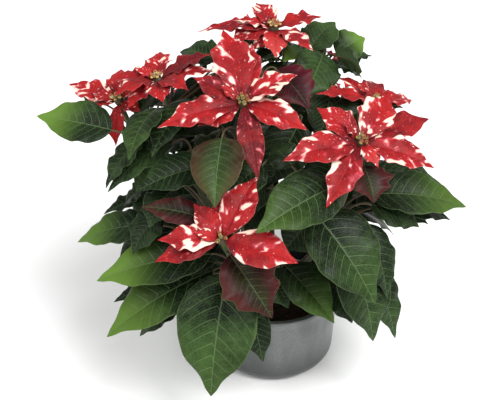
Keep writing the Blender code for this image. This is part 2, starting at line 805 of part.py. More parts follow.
def add_turned(name, profile, sides, parts, material):
    """A turned solid from a profile of (radius, height), top to bottom."""
    mesh = bpy.data.meshes.new(name)
    points = [(radius, 0, height) for radius, height in profile]
    mesh.from_pydata(points, [(i, i + 1) for i in range(len(points) - 1)], [])
    made = add_object(name, mesh, parts, material)
    turning = made.modifiers.new("Turning", "SCREW")
    turning.steps = sides
    turning.render_steps = sides
    turning.use_merge_vertices = True
    turning.merge_threshold = WELD
    turning.use_smooth_shade = True
    return made


def wall_radius(height):
    """The pot's outer radius at a height."""
    return POT_FOOT_RADIUS + (POT_RIM_RADIUS - POT_LIP - POT_FOOT_RADIUS) * height / POT_HEIGHT


def add_pot(parts):
    grey = add_material("Grey pot", (0.16, 0.17, 0.17), 0.42)
    lip_foot = POT_HEIGHT - POT_LIP_HEIGHT
    foot = []
    for i in range(4):
        angle = math.radians(30 * i)
        inset = POT_FOOT_ROUND * (1 - math.cos(angle))
        foot.append((wall_radius(POT_FOOT_ROUND) - inset, POT_FOOT_ROUND * (1 - math.sin(angle))))
    profile = [
        (0, POT_WALL),
        (wall_radius(POT_WALL) - POT_WALL - POT_FOOT_ROUND / 2, POT_WALL),
        (wall_radius(POT_FOOT_ROUND) - POT_WALL, POT_FOOT_ROUND),
        (wall_radius(POT_HEIGHT) - POT_WALL, POT_HEIGHT),
        (POT_RIM_RADIUS, POT_HEIGHT),
        (POT_RIM_RADIUS, lip_foot),
        (wall_radius(lip_foot), lip_foot - POT_LIP),
        *foot,
        (0, 0),
    ]
    add_turned("pot", profile, POT_SIDES, parts, grey)


def add_soil(parts):
    """The soil, with a blind hole for the trunk."""
    brown = add_material("Soil", (0.035, 0.022, 0.014), 0.95)
    hole = TRUNK_RADIUS + 2 * GAP
    low = POT_FOOT_ROUND
    inset = POT_WALL + GAP
    profile = [
        (0, TRUNK_FOOT - GAP),
        (hole, TRUNK_FOOT - GAP),
        (hole, SOIL_TOP + SOIL_RISE),
        (wall_radius(SOIL_TOP) * 0.6, SOIL_TOP + SOIL_RISE * 0.7),
        (wall_radius(SOIL_TOP - SOIL_RISE) - inset, SOIL_TOP - SOIL_RISE),
        (wall_radius(low) - inset, low),
        (wall_radius(POT_WALL) - inset - POT_FOOT_ROUND / 2, SOIL_BOTTOM),
        (0, SOIL_BOTTOM),
    ]
    add_turned("soil", profile, POT_SIDES, parts, brown)


def add_trunk(parts):
    bark = add_material("Trunk bark", (0.16, 0.12, 0.07), 0.85)
    profile = [
        (0, TRUNK_TOP),
        (TRUNK_RADIUS * 0.6, TRUNK_TOP),
        (TRUNK_RADIUS, TRUNK_TOP - 3 * MM),
        (TRUNK_RADIUS, TRUNK_FOOT),
        (0, TRUNK_FOOT),
    ]
    add_turned("trunk", profile, TRUNK_SIDES, parts, bark)


def add_leafy_stem(key, path, blades, group, parts, green):
    """A stem with the petioles and the leaves that grow from it."""
    pieces = [add_tube("stem", path, stem_radii(path), group)]
    pieces += [add_blade(blade, group) for blade in blades]
    return join("leaves_" + key, pieces, group, parts, green)


def add_bracts(key, blades, group, parts, red):
    """A rosette of bracts round its hub."""
    centre, facing = head_place(HEADS[key])
    pieces = [add_ball("hub", centre, facing, [HUB_RADIUS] * 3, 6, group)]
    pieces += [add_blade(blade, group) for blade in blades]
    return join("bracts_" + key, pieces, group, parts, red)


def add_cyathia(key, group, parts, yellow):
    """The cluster of little flowers in the middle of a head."""
    centre, facing = head_place(HEADS[key])
    foot = centre + facing * (HUB_RADIUS + GAP)
    stalks = CYATHIA_HEIGHT * 0.45
    base_radii = [CYATHIA_FOOT, CYATHIA_FOOT, stalks]
    pieces = [add_ball("base", foot + facing * stalks, facing, base_radii, 5, group)]
    for i in range(CYATHIUM_COUNT):
        ring = CYATHIA_SPREAD - CYATHIUM_RADIUS - 0.5 * MM if i else 0
        out = level_in(key, i * 360 / (CYATHIUM_COUNT - 1)) * ring
        middle = foot + facing * (CYATHIA_HEIGHT - CYATHIUM_RADIUS * (1 if i == 0 else 1.9)) + out
        radii = [CYATHIUM_RADIUS, CYATHIUM_RADIUS, CYATHIUM_RADIUS * 1.25]
        pieces.append(add_ball("cyathium", middle, facing, radii, 4, group))
    return join("cyathia_" + key, pieces, group, parts, yellow)


def main():
    for old in list(bpy.data.objects):
        bpy.data.objects.remove(old)
    parts = add_collection("poinsettia")
    group = add_collection("to join")
    green = add_material("Leaf green", (0.035, 0.10, 0.03), 0.5)
    red = add_material("Bract red", (0.55, 0.03, 0.03), 0.5)
    yellow = add_material("Cyathia yellow", (0.55, 0.50, 0.12), 0.5)
    add_pot(parts)
    add_soil(parts)
    add_trunk(parts)
    paths, blades = grow()
    for key, path in paths.items():
        leaves = [blade for blade in blades if blade.node == "leaves_" + key]
        bracts = [blade for blade in blades if blade.node == "bracts_" + key]
        add_leafy_stem(key, path, leaves, group, parts, green)
        add_bracts(key, bracts, group, parts, red)
        add_cyathia(key, group, parts, yellow)
    bpy.data.collections.remove(group)


if __name__ == "__main__":
    main()
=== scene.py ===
"""A potted poinsettia with red bracts splashed in cream, in a plain grey pot.

The script follows the plant as it stands: the room, the pot, the soil, the trunk, the leafy stems,
the bracts, and the cyathia in the middle of each flower head.
"""

import math
from collections import namedtuple

import bpy
import numpy as np
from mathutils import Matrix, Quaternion, Vector
from mathutils.bvhtree import BVHTree


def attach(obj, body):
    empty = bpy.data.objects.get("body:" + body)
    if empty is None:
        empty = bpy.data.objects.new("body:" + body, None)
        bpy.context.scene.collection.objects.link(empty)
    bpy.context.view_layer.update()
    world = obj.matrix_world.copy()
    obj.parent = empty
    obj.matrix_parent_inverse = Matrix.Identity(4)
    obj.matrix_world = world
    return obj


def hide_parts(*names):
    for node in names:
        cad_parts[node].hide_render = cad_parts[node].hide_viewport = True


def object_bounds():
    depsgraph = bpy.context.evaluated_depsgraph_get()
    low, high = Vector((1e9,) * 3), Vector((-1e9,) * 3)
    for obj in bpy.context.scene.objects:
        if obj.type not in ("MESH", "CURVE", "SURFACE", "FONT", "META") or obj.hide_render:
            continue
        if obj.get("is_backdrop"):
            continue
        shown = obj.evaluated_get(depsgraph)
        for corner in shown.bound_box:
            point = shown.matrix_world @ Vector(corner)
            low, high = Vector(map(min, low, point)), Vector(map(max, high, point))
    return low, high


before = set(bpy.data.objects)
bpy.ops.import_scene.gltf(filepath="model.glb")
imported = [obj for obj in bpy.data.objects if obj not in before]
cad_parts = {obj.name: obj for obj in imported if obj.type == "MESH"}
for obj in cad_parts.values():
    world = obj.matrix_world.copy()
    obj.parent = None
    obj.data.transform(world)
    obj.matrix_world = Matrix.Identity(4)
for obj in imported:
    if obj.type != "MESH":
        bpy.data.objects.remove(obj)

cad_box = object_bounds()


# The room. A plain pale floor runs under the pot, white light comes from all round, and two large
# soft lamps stand in front of the plant, the stronger one high on the right. The camera stands
# where the photograph was taken from, and looks down at the plant.

VIEW_ELEVATION = math.radians(35)
VIEW_TARGET = Vector((-0.0255, 0.0, 0.199))
VIEW_DISTANCE = 1.6
VIEW_FOCAL = 1524
VIEW_CENTRE = (250, 200)
FRAME_WIDTH = 500
SENSOR_WIDTH = 36
FORWARD = Vector((0, math.cos(VIEW_ELEVATION), -math.sin(VIEW_ELEVATION)))
RIGHT = Vector((1, 0, 0))
UP = RIGHT.cross(FORWARD)
EYE = VIEW_TARGET - VIEW_DISTANCE * FORWARD
SKY_STRENGTH = 0.52
FLOOR_REACH = 6


def rgb(*colour):
    return (*colour, 1.0)


def new_finish(name, roughness, specular=0.5):
    """A material, with the node tree and the shader that its colour and bump go into."""
    made = bpy.data.materials.new(name)
    made.use_nodes = True
    shader = made.node_tree.nodes["Principled BSDF"]
    shader.inputs["Roughness"].default_value = roughness
    shader.inputs["Specular IOR Level"].default_value = specular
    return made, made.node_tree, shader


def add_piece(name, points, faces, *finishes):
    """A smooth mesh object with its materials."""
    mesh = bpy.data.meshes.new(name)
    mesh.from_pydata(points, [], faces)
    mesh.shade_smooth()
    for finish in finishes:
        mesh.materials.append(finish)
    made = bpy.data.objects.new(name, mesh)
    bpy.context.scene.collection.objects.link(made)
    return made


def add_lamp(name, place, size, power):
    """A square soft lamp that looks at the middle of the plant."""
    light = bpy.data.lights.new(name, "AREA")
    light.size = size
    light.energy = power
    made = bpy.data.objects.new(name, light)
    made.location = place
    made.rotation_euler = (VIEW_TARGET - Vector(place)).to_track_quat("-Z", "Y").to_euler()
    bpy.context.scene.collection.objects.link(made)


floor_finish, _, floor_shader = new_finish("Pale floor", 0.9, 0.1)
floor_shader.inputs["Base Color"].default_value = rgb(0.98, 0.98, 0.978)
corners = [(x * FLOOR_REACH, y * FLOOR_REACH, 0) for x, y in ((-1, -1), (1, -1), (1, 1), (-1, 1))]
floor = add_piece("floor", corners, [(0, 1, 2, 3)], floor_finish)
floor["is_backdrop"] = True

sky = bpy.data.worlds.new("Sky")
sky.use_nodes = True
sky.node_tree.nodes["Background"].inputs["Color"].default_value = rgb(1, 1, 1)
sky.node_tree.nodes["Background"].inputs["Strength"].default_value = SKY_STRENGTH
bpy.context.scene.world = sky
bpy.context.scene.view_settings.view_transform = "Standard"
add_lamp("lamp right", (1.9, -2.0, 4.2), 2.8, 290)
add_lamp("lamp left", (-3.0, -2.2, 3.8), 3.8, 120)

lens = bpy.data.cameras.new("Camera")
lens.sensor_width = SENSOR_WIDTH
lens.lens = VIEW_FOCAL * SENSOR_WIDTH / FRAME_WIDTH
camera = bpy.data.objects.new("Camera", lens)
camera.location = EYE
camera.rotation_euler = (math.pi / 2 - VIEW_ELEVATION, 0, 0)
bpy.context.scene.collection.objects.link(camera)
bpy.context.scene.camera = camera


# The pot. It is a thin tapered pot of satin grey plastic, moulded in one piece, with a rounded
# foot, a plain rolled rim and a shallow hollow under its base.

MM = 0.001
POT_HEIGHT = 90 * MM
POT_RIM_RADIUS = 72 * MM
POT_FOOT_RADIUS = 65 * MM
POT_FOOT_ROUND = 16 * MM
POT_WALL = 3 * MM
POT_LIP = 1.2 * MM
POT_LIP_HEIGHT = 5 * MM
POT_EDGE_ROUND = 1.5 * MM
POT_HOLLOW = 1.5 * MM
POT_SIDES = 144


def wired(tree, kind, *inputs, out=0, **settings):
    """Adds a node, fills its inputs in order with numbers or other nodes' outputs, and returns
    its output."""
    made = tree.nodes.new(kind)
    for name, value in settings.items():
        setattr(made, name, value)
    for socket, value in zip([socket for socket in made.inputs if socket.enabled], inputs):
        if isinstance(value, bpy.types.NodeSocket):
            tree.links.new(value, socket)
        elif value is not None:
            socket.default_value = value
    return [socket for socket in made.outputs if socket.enabled][out]


def maths(tree, operation, *values):
    return wired(tree, "ShaderNodeMath", *values, operation=operation)


def mixed(tree, share, first, second):
    """A colour that runs from the first to the second as the share rises from 0 to 1."""
    return wired(tree, "ShaderNodeMix", share, first, second, data_type="RGBA")


def rising(tree, value, low, high):
    """0 up to the low value, 1 from the high one on, and a soft step between them."""
    return wired(
        tree, "ShaderNodeMapRange", value, low, high, 0.0, 1.0, interpolation_type="SMOOTHSTEP"
    )


def noise(tree, place, scale, detail=2.0):
    return wired(tree, "ShaderNodeTexNoise", place, scale, detail, 0.5)


def raise_bump(tree, shader, height, strength, distance):
    """Lets a height stand out of the surface by the distance, in metres."""
    bump = wired(tree, "ShaderNodeBump", strength, distance, height)
    tree.links.new(bump, shader.inputs["Normal"])


def place_of(tree):
    """Where a point is on the plant, in metres."""
    return wired(tree, "ShaderNodeTexCoord", out=3)


def wall_radius(height):
    """The pot's outer radius at a height."""
    return POT_FOOT_RADIUS + (POT_RIM_RADIUS - POT_LIP - POT_FOOT_RADIUS) * height / POT_HEIGHT


def rounded(centre, radius, start, end, steps):
    """Points of (radius, height) on a round corner, from one angle in degrees to another."""
    angles = [math.radians(start + (end - start) * i / steps) for i in range(steps + 1)]
    return [
        (centre[0] + radius * math.cos(angle), centre[1] + radius * math.sin(angle))
        for angle in angles
    ]


def turned(profile, sides):
    """The points and faces of a turned form, from a profile of (radius, height) that starts and
    ends on its axis."""
    turns = [2 * math.pi * i / sides for i in range(sides)]
    points = [(0, 0, profile[0][1])]
    for radius, height in profile[1:-1]:
        points += [(radius * math.cos(turn), radius * math.sin(turn), height) for turn in turns]
    points.append((0, 0, profile[-1][1]))
    faces = []
    last = len(points) - 1
    for i in range(sides):
        after = (i + 1) % sides
        faces.append((0, 1 + i, 1 + after))
        faces.append((last, last - sides + after, last - sides + i))
        for ring in range(len(profile) - 3):
            a, b = 1 + ring * sides + i, 1 + ring * sides + after
            faces.append((a, a + sides, b + sides, b))
    return points, faces


rim_level = POT_HEIGHT - POT_EDGE_ROUND
lip_foot = POT_HEIGHT - POT_LIP_HEIGHT
foot_middle = wall_radius(POT_FOOT_ROUND) - POT_FOOT_ROUND
pot_profile = [
    (0, POT_WALL),
    (foot_middle, POT_WALL),
    *rounded((foot_middle, POT_FOOT_ROUND), POT_FOOT_ROUND - POT_WALL, -80, 0, 8),
    (wall_radius(POT_HEIGHT * 0.5) - POT_WALL, POT_HEIGHT * 0.5),
    (wall_radius(POT_HEIGHT) - POT_WALL, rim_level),
    *rounded((POT_RIM_RADIUS - 4 * MM, rim_level), POT_EDGE_ROUND, 170, 90, 5),
    *rounded((POT_RIM_RADIUS - POT_EDGE_ROUND, rim_level), POT_EDGE_ROUND, 90, 0, 5),
    *rounded((POT_RIM_RADIUS - POT_LIP, lip_foot + POT_LIP), POT_LIP, 0, -80, 5),
    (wall_radius(lip_foot) + 0.4 * MM, lip_foot - POT_LIP * 0.6),
    (wall_radius(lip_foot), lip_foot - POT_LIP),
    *[(wall_radius(height * MM), height * MM) for height in range(76, 17, -7)],
    *rounded((foot_middle, POT_FOOT_ROUND), POT_FOOT_ROUND, 0, -82, 12),
    (foot_middle - 1 * MM, 0),
    (foot_middle - 5 * MM, 0),
    (foot_middle - 6.5 * MM, POT_HOLLOW),
    (0, POT_HOLLOW),
]

pot_finish, tree, shader = new_finish("Grey pot", 0.38, 0.45)
place = place_of(tree)
tall = wired(tree, "ShaderNodeVectorMath", place, (1.0, 1.0, 0.35), operation="MULTIPLY")
cloud = noise(tree, tall, 34.0)
grain = noise(tree, place, 900.0, 3.0)
clouded = rising(tree, cloud, 0.35, 0.65)
grey = mixed(tree, clouded, rgb(0.078, 0.088, 0.086), rgb(0.165, 0.178, 0.172))
grain_dark = maths(tree, "MULTIPLY", rising(tree, grain, 0.6, 0.4), 0.5)
grey = mixed(tree, grain_dark, grey, rgb(0.060, 0.067, 0.065))
height_here = wired(tree, "ShaderNodeSeparateXYZ", place, out=2)
# Painted shade: the pot turns darker towards its foot.
foot_shade = maths(tree, "MULTIPLY", rising(tree, height_here, 0.055, 0.0), 0.85)
grey = mixed(tree, foot_shade, grey, rgb(0.032, 0.036, 0.036))
fleck = rising(tree, grain, 0.66, 0.74)
grey = mixed(tree, maths(tree, "MULTIPLY", fleck, 0.3), grey, rgb(0.32, 0.32, 0.33))
tree.links.new(grey, shader.inputs["Base Color"])
worn = maths(tree, "MULTIPLY_ADD", noise(tree, place, 60.0, 4.0), 0.16, 0.24)
tree.links.new(worn, shader.inputs["Roughness"])
raise_bump(tree, shader, grain, 0.2, 0.0001)

pot = add_piece("pot_shell", *turned(pot_profile, POT_SIDES), pot_finish)
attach(pot, "root")
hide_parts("pot")


# The soil. It is dark peat with a little bark and some pale grains of perlite, pressed down by
# hand to a low crown round the trunk, a finger's width under the rim.

SOIL_TOP = 78 * MM
SOIL_RISE = 2 * MM
SOIL_GAP = 0.3 * MM
SOIL_SIDES = 120
SOIL_RINGS = 44
CRUMB_COUNT = 420
CRUMB_SIDES = 6
PERLITE_COUNT = 46
ROUND_TRUNK = 11 * MM
FROM_WALL = 4 * MM

chance = np.random.default_rng(7)


def rough(x, y, z, size, seed=0.0):
    """A smooth rough number from about -1 to 1 at each place, made of a few slanted waves."""
    total = 0.0
    for i, (a, b, c) in enumerate(((1.0, 0.31, 0.17), (-0.42, 1.07, 0.29), (0.23, -0.57, 1.13))):
        for octave in (1.0, 2.17):
            swing = (x * a + y * b + z * c) * 2 * math.pi * octave / size
            total = total + np.sin(swing + seed * 3.1 + i * 2.3 + octave) / octave
    return total / 3.2


def soil_points():
    """Points of the soil: its rough top from the middle out, then its plain sides and base."""
    edge = wall_radius(SOIL_TOP - SOIL_RISE) - POT_WALL - SOIL_GAP
    turns = np.arange(SOIL_SIDES) * 2 * math.pi / SOIL_SIDES
    points = [(0, 0, SOIL_TOP + SOIL_RISE)]
    for ring in range(1, SOIL_RINGS + 1):
        share = ring / SOIL_RINGS
        x, y = edge * share * np.cos(turns), edge * share * np.sin(turns)
        level = SOIL_TOP + SOIL_RISE - 2 * SOIL_RISE * share**2
        settle = min(1.0, (1 - share) * 6)
        lumps = rough(x, y, 0, 0.017) * 0.7 + rough(x, y, 0, 0.0061, 2.0) * 0.5
        z = level + (lumps - 0.3) * 1.1 * MM * settle
        points += list(zip(x, y, z))
    for radius, height in (
        (wall_radius(POT_FOOT_ROUND) - POT_WALL - SOIL_GAP, POT_FOOT_ROUND),
        (foot_middle + 3 * MM, POT_WALL + 1 * MM),
    ):
        points += list(zip(radius * np.cos(turns), radius * np.sin(turns), turns * 0 + height))
    points.append((0, 0, POT_WALL + SOIL_GAP))
    return points


def half_round(count):
    """A profile of (radius, height) down half a circle, which turns into a ball."""
    return [(math.sin(a), math.cos(a)) for a in np.linspace(0, math.pi, count)]


def lump(centre, size, seed):
    """The points and faces of one small crumb: a coarse ball, dented and a little flat."""
    points, faces = turned(half_round(5), CRUMB_SIDES)
    points = np.array(points)
    dents = 1 + 0.25 * rough(points[:, 0], points[:, 1], points[:, 2], 1.7, seed)
    spin = Quaternion((math.sin(seed), math.cos(seed), 0.5), seed * 5).to_matrix()
    points = points * dents[:, None] * (1.0, 0.8, 0.6) @ np.array(spin).T
    return points * size + centre, faces


def gather(parts):
    """Many parts' points and faces as one list of each."""
    points, faces = [], []
    for part_points, part_faces in parts:
        shift = len(points)
        points += [tuple(point) for point in part_points]
        faces += [[i + shift for i in face] for face in part_faces]
    return points, faces


def scattered(count, least, greatest, seed):
    """Crumbs strewn over the soil, half sunk in it."""
    parts = []
    reach = wall_radius(SOIL_TOP) - POT_WALL - FROM_WALL
    for i in range(count):
        radius = ROUND_TRUNK + (reach - ROUND_TRUNK) * math.sqrt(chance.random())
        turn = chance.random() * 2 * math.pi
        x, y = radius * math.cos(turn), radius * math.sin(turn)
        size = least + (greatest - least) * chance.random() ** 2
        z = SOIL_TOP + SOIL_RISE * (1 - 2 * (radius / reach) ** 2) + size * 0.1
        parts.append(lump((x, y, z), size, seed + i))
    return parts


peat_finish, tree, shader = new_finish("Peat", 0.95, 0.2)
place = place_of(tree)
clods = noise(tree, place, 160.0, 5.0)
damp = noise(tree, place, 30.0)
brown = mixed(tree, clods, rgb(0.008, 0.005, 0.004), rgb(0.060, 0.036, 0.022))
brown = mixed(tree, maths(tree, "MULTIPLY", damp, 0.5), brown, rgb(0.020, 0.012, 0.008))
tree.links.new(brown, shader.inputs["Base Color"])
raise_bump(tree, shader, noise(tree, place, 700.0, 4.0), 0.9, 0.0008)

perlite_finish, tree, shader = new_finish("Perlite", 0.9, 0.2)
dusty = noise(tree, place_of(tree), 400.0)
pale = mixed(tree, dusty, rgb(0.55, 0.52, 0.46), rgb(0.30, 0.26, 0.20))
tree.links.new(pale, shader.inputs["Base Color"])

soil_rings = [(0, 0)] * (SOIL_RINGS + 4)
bed = (soil_points(), turned(soil_rings, SOIL_SIDES)[1])
crumbs = scattered(CRUMB_COUNT, 0.7 * MM, 2.6 * MM, 3)
soil = add_piece("soil_bed", *gather([bed] + crumbs), peat_finish)
grains = scattered(PERLITE_COUNT, 0.6 * MM, 1.4 * MM, 900)
perlite = add_piece("perlite", *gather(grains), perlite_finish)
for piece in (soil, perlite):
    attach(piece, "root")
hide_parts("soil")


# The trunk. It is a short woody stump of grey-brown bark, cut back when the plant was young, and
# the leafy stems grow out of its sides below the cut.

TRUNK_RADIUS = 7 * MM
TRUNK_FOOT = 52 * MM
TRUNK_TOP = 120 * MM
TRUNK_SIDES = 60
TRUNK_RINGS = 90


def trunk_points():
    """Points of the trunk: rings with cracks along it, and a scarred top."""
    turns = np.arange(TRUNK_SIDES) * 2 * math.pi / TRUNK_SIDES
    x, y = np.cos(turns), np.sin(turns)
    points = [(0, 0, TRUNK_TOP - 1 * MM)]
    for radius, drop in ((2.5 * MM, 1.0 * MM), (4.5 * MM, 0.6 * MM), (5.8 * MM, 1.2 * MM)):
        points += list(zip(radius * x, radius * y, turns * 0 + TRUNK_TOP - drop))
    for height in np.linspace(TRUNK_TOP - 3 * MM, TRUNK_FOOT, TRUNK_RINGS):
        cracks = rough(x, y, height * 18, 0.62) * 0.35 + rough(x, y, height * 60, 0.9, 4.0) * 0.25
        swelling = 0.5 * math.sin(height * 260) - 0.4
        radius = TRUNK_RADIUS + (cracks + swelling) * 0.55 * MM
        points += list(zip(radius * x, radius * y, turns * 0 + height))
    points.append((0, 0, TRUNK_FOOT))
    return points


bark_finish, tree, shader = new_finish("Bark", 0.85, 0.25)
place = place_of(tree)
stretched = wired(tree, "ShaderNodeVectorMath", place, (1.0, 1.0, 0.22), operation="MULTIPLY")
streaks = noise(tree, stretched, 420.0, 5.0)
bark = mixed(tree, streaks, rgb(0.045, 0.032, 0.020), rgb(0.27, 0.21, 0.13))
moss = maths(tree, "MULTIPLY", rising(tree, noise(tree, place, 90.0), 0.5, 0.7), 0.5)
bark = mixed(tree, moss, bark, rgb(0.10, 0.13, 0.05))
tree.links.new(bark, shader.inputs["Base Color"])
raise_bump(tree, shader, streaks, 0.8, 0.0008)

trunk_faces = turned([(0, 0)] * (TRUNK_RINGS + 5), TRUNK_SIDES)[1]
trunk = add_piece("trunk_wood", trunk_points(), trunk_faces, bark_finish)
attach(trunk, "root")
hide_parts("trunk")


# The leafy stems. Ten round green stems, reddish where they are young, grow out of the trunk, with
# thin dark green leaves on long red petioles. A leaf has a pressed-in midrib and is raised between
# its side veins, and its petiole carries on beneath it as the midrib's ridge.

GAP = 0.3 * MM
STEM_FOOT_RADIUS = 3.1 * MM
STEM_TOP_RADIUS = 2.4 * MM
STEM_START = 4 * MM
STEM_STEPS = 6
BLADE_THICKNESS = 0.8 * MM
CLEARANCE = 0.9 * MM
BLADE_TIP = 0.4 * MM
FOLD = math.radians(9)
PETIOLE_RADIUS = 1.3 * MM
HUB_RADIUS = 5 * MM
CYATHIA_FOOT = 3 * MM
CYATHIA_SPREAD = 7 * MM
CYATHIA_HEIGHT = 12 * MM
PLAIN_STATIONS = (0.0, 0.15, 0.4, 0.7, 1.0)
TOOTHED_STATIONS = (0.0, 0.18, 0.42, 0.54, 0.66, 0.8, 1.0)
TEETH = (0.42, 0.66)
LEAF_FORM = (0.38, 0.6)
BRACT_FORM = (0.48, 1.05)
TOOTH_REACH = 0.1
HEXAGON = 1.16
ROOT_ROWS = 2
RULED_STATIONS = (0.0, 0.2, 0.6, 1.0)
ACROSS = (-1.0, 0.0, 1.0)
FLAT_ACROSS = (-1.0, 1.0)
FOLDED_LEAF = 45
FOLDED_BRACT = 25

# The crown: the dome that the leaves placed by rule stay in, how many of them each stem has, and
# the crown's outline in the photograph, in its frame of 500 by 400 pixels.
CROWN_CENTRE = Vector((0.0, 0.045, 0.175))
CROWN_RADII = Vector((0.19, 0.2, 0.185))
CROWN_FOOT = 70 * MM
CROWN_FRONT = -40 * MM
GOLDEN_TURN = 137.5
LEAF_FAN = 220
RULED_LEAVES = {"a": 3, "b": 8, "c": 3, "d": 1, "e": 7, "f": 5, "g": 7, "j": 7, "h": 12, "i": 12}
RULED_LEAF = 108
HIDDEN_HEADS = "hi"
RING_TURNS = (0, 51, 103, 154, 206, 257, 309)
HIDDEN_TURNS = (-54, 0, 53)
BACK_BRACT = 56
SMALL_BRACT = 26
SMALL_TURN = 60
CROWN_OUTLINE = (
    (200, 30), (260, 5), (330, 15), (365, 40), (362, 85), (432, 110), (436, 165), (460, 205),
    (398, 225), (392, 300), (330, 298), (200, 300), (112, 300), (104, 280), (84, 240), (128, 212),
    (112, 180), (122, 140), (48, 117), (76, 84), (150, 54),
)

# A flower head: its centre, the way it faces (across and behind for 1 up), and where its stem
# leaves the trunk (degrees round it from +X, and millimetres above the pot's underside). A place
# is the pixel where it is seen, and its millimetres behind the pot's axis.
Head = namedtuple("Head", "centre lean turn height")
HEADS = {
    "a": Head((243, 103, -30), (0.0, -0.45), -150, 112),
    "b": Head((274, 29, 75), (0.05, 0.0), 92, 104),
    "c": Head((361, 143, -55), (0.25, -0.35), -40, 104),
    "d": Head((222, 240, -125), (-0.15, -0.6), -110, 94),
    "e": Head((158, 80, 25), (-0.25, 0.0), 162, 108),
    "f": Head((119, 101, 35), (-0.3, -0.1), 186, 94),
    "g": Head((375, 104, 25), (0.3, 0.1), 10, 94),
    "j": Head((322, 50, 95), (0.25, 0.2), 50, 112),
    "h": Head((205, 88, 150), (-0.3, 0.5), 128, 94),
    "i": Head((345, 96, 160), (0.4, 0.5), 68, 92),
}

# A bract: the pixel of its tip, how far the tip stands above its head's plane, its width, its roll
# about its own length in degrees, whether its edge is toothed, and how far it arches. Then how
# much cream it carries, where most of that lies (along it, and from -1 to 1 across it), and how
# much lighter its red is than the rest: partly its own tone and partly painted light and shade
# for where it stands in the head.
Bract = namedtuple(
    "Bract",
    "tip rise width roll toothed arch cream along side shade",
    defaults=(0, False, 0.07, 0.0, 0.5, 0.0, 0.0),
)
BRACTS = {
    "a": (
        Bract((223, 30), 6, 46, toothed=True, cream=0.5, along=0.55, shade=0.1),
        Bract((252, 44), -2, 28, cream=0.4, along=0.7),
        Bract((297, 75), 14, 36, roll=-20, cream=0.95, shade=0.1),
        Bract((307, 130), 0, 32, cream=0.5, along=0.3, side=-0.5),
        Bract((258, 180), -16, 26, cream=0.08, shade=-1),
        Bract((158, 128), 0, 34, toothed=True, cream=0.5, along=0.8, side=0.8),
        Bract((198, 126), -8, 30, cream=0.22, shade=0.1),
        Bract((194, 78), 4, 28, cream=0.15, shade=-0.5),
    ),
    "b": (
        Bract((256, 3), 4, 28, toothed=True, cream=0.6, along=0.6),
        Bract((198, 32), -4, 22, cream=0.1, shade=-0.4),
        Bract((234, 20), 8, 20, toothed=True, cream=0.6, along=0.6),
        Bract((322, 17), 4, 28, toothed=True, cream=0.1),
        Bract((228, 44), -10, 30, cream=0.5, along=0.8, shade=0.1),
        Bract((276, 58), -6, 26, cream=0.3, along=0.6, shade=0.5),
        Bract((254, 50), -12, 22, cream=0.3, along=0.6, shade=-0.2),
        Bract((313, 51), 0, 24, cream=0.5, along=0.6),
    ),
    "c": (
        Bract((283, 161), 0, 36, cream=0.6, side=0.4, shade=-0.1),
        Bract((326, 208), -14, 34, toothed=True, cream=0.5, side=0.7),
        Bract((317, 108), 4, 34, cream=0.42),
        Bract((388, 94), 6, 40, toothed=True, cream=0.75, side=-0.6, shade=0.1),
        Bract((429, 119), 0, 32, shade=-0.4),
        Bract((434, 168), -4, 36, cream=0.52, along=0.6),
        Bract((378, 167), 2, 20, cream=0.4, along=0.6, shade=0.45),
    ),
    "d": (
        Bract((257, 177), 8, 36, cream=0.55),
        Bract((194, 204), 12, 24, cream=0.5, side=-0.7),
        Bract((222, 194), 0, 22, cream=0.2, shade=-0.1),
        Bract((158, 240), 10, 30, toothed=True, cream=0.7),
        Bract((155, 262), -2, 26, shade=-0.35),
        Bract((298, 263), 4, 40, cream=0.5, along=0.35, side=-0.5),
    ),
    "e": (
        Bract((160, 52), 6, 32, toothed=True, cream=0.6),
        Bract((214, 72), 0, 26, cream=0.6, along=0.9),
        Bract((212, 54), 2, 26, cream=0.02, shade=-0.8),
        Bract((110, 81), 4, 30, toothed=True, cream=0.06, shade=-0.2),
        Bract((128, 108), -8, 26, cream=0.7, along=0.2),
        Bract((114, 96), -6, 24, cream=0.15),
        Bract((163, 102), -6, 28, cream=0.6, along=0.2),
        Bract((188, 90), 0, 22, cream=0.12),
    ),
    "f": (
        Bract((69, 84), 6, 30, arch=0.02, cream=0.6, shade=-0.1),
        Bract((92, 92), 2, 22, cream=0.6, along=0.6, shade=-0.2),
        Bract((91, 105), -4, 22, cream=0.5, along=0.6),
        Bract((134, 86), 4, 22, toothed=True, cream=0.2, shade=0.1),
        Bract((116, 146), -26, 22, toothed=True, cream=0.05),
        Bract((140, 112), -8, 18, cream=0.2),
    ),
    "g": (
        Bract((336, 77), 0, 26, cream=0.35, side=-0.6, shade=0.3),
        Bract((316, 94), 2, 24, shade=0.3),
    ),
    "j": (
        Bract((340, 33), 6, 18, cream=0.25, along=0.6, shade=-0.4),
        Bract((342, 63), -4, 14, cream=0.2, along=0.6, shade=-0.4),
    ),
    "h": (),
    "i": (),
}
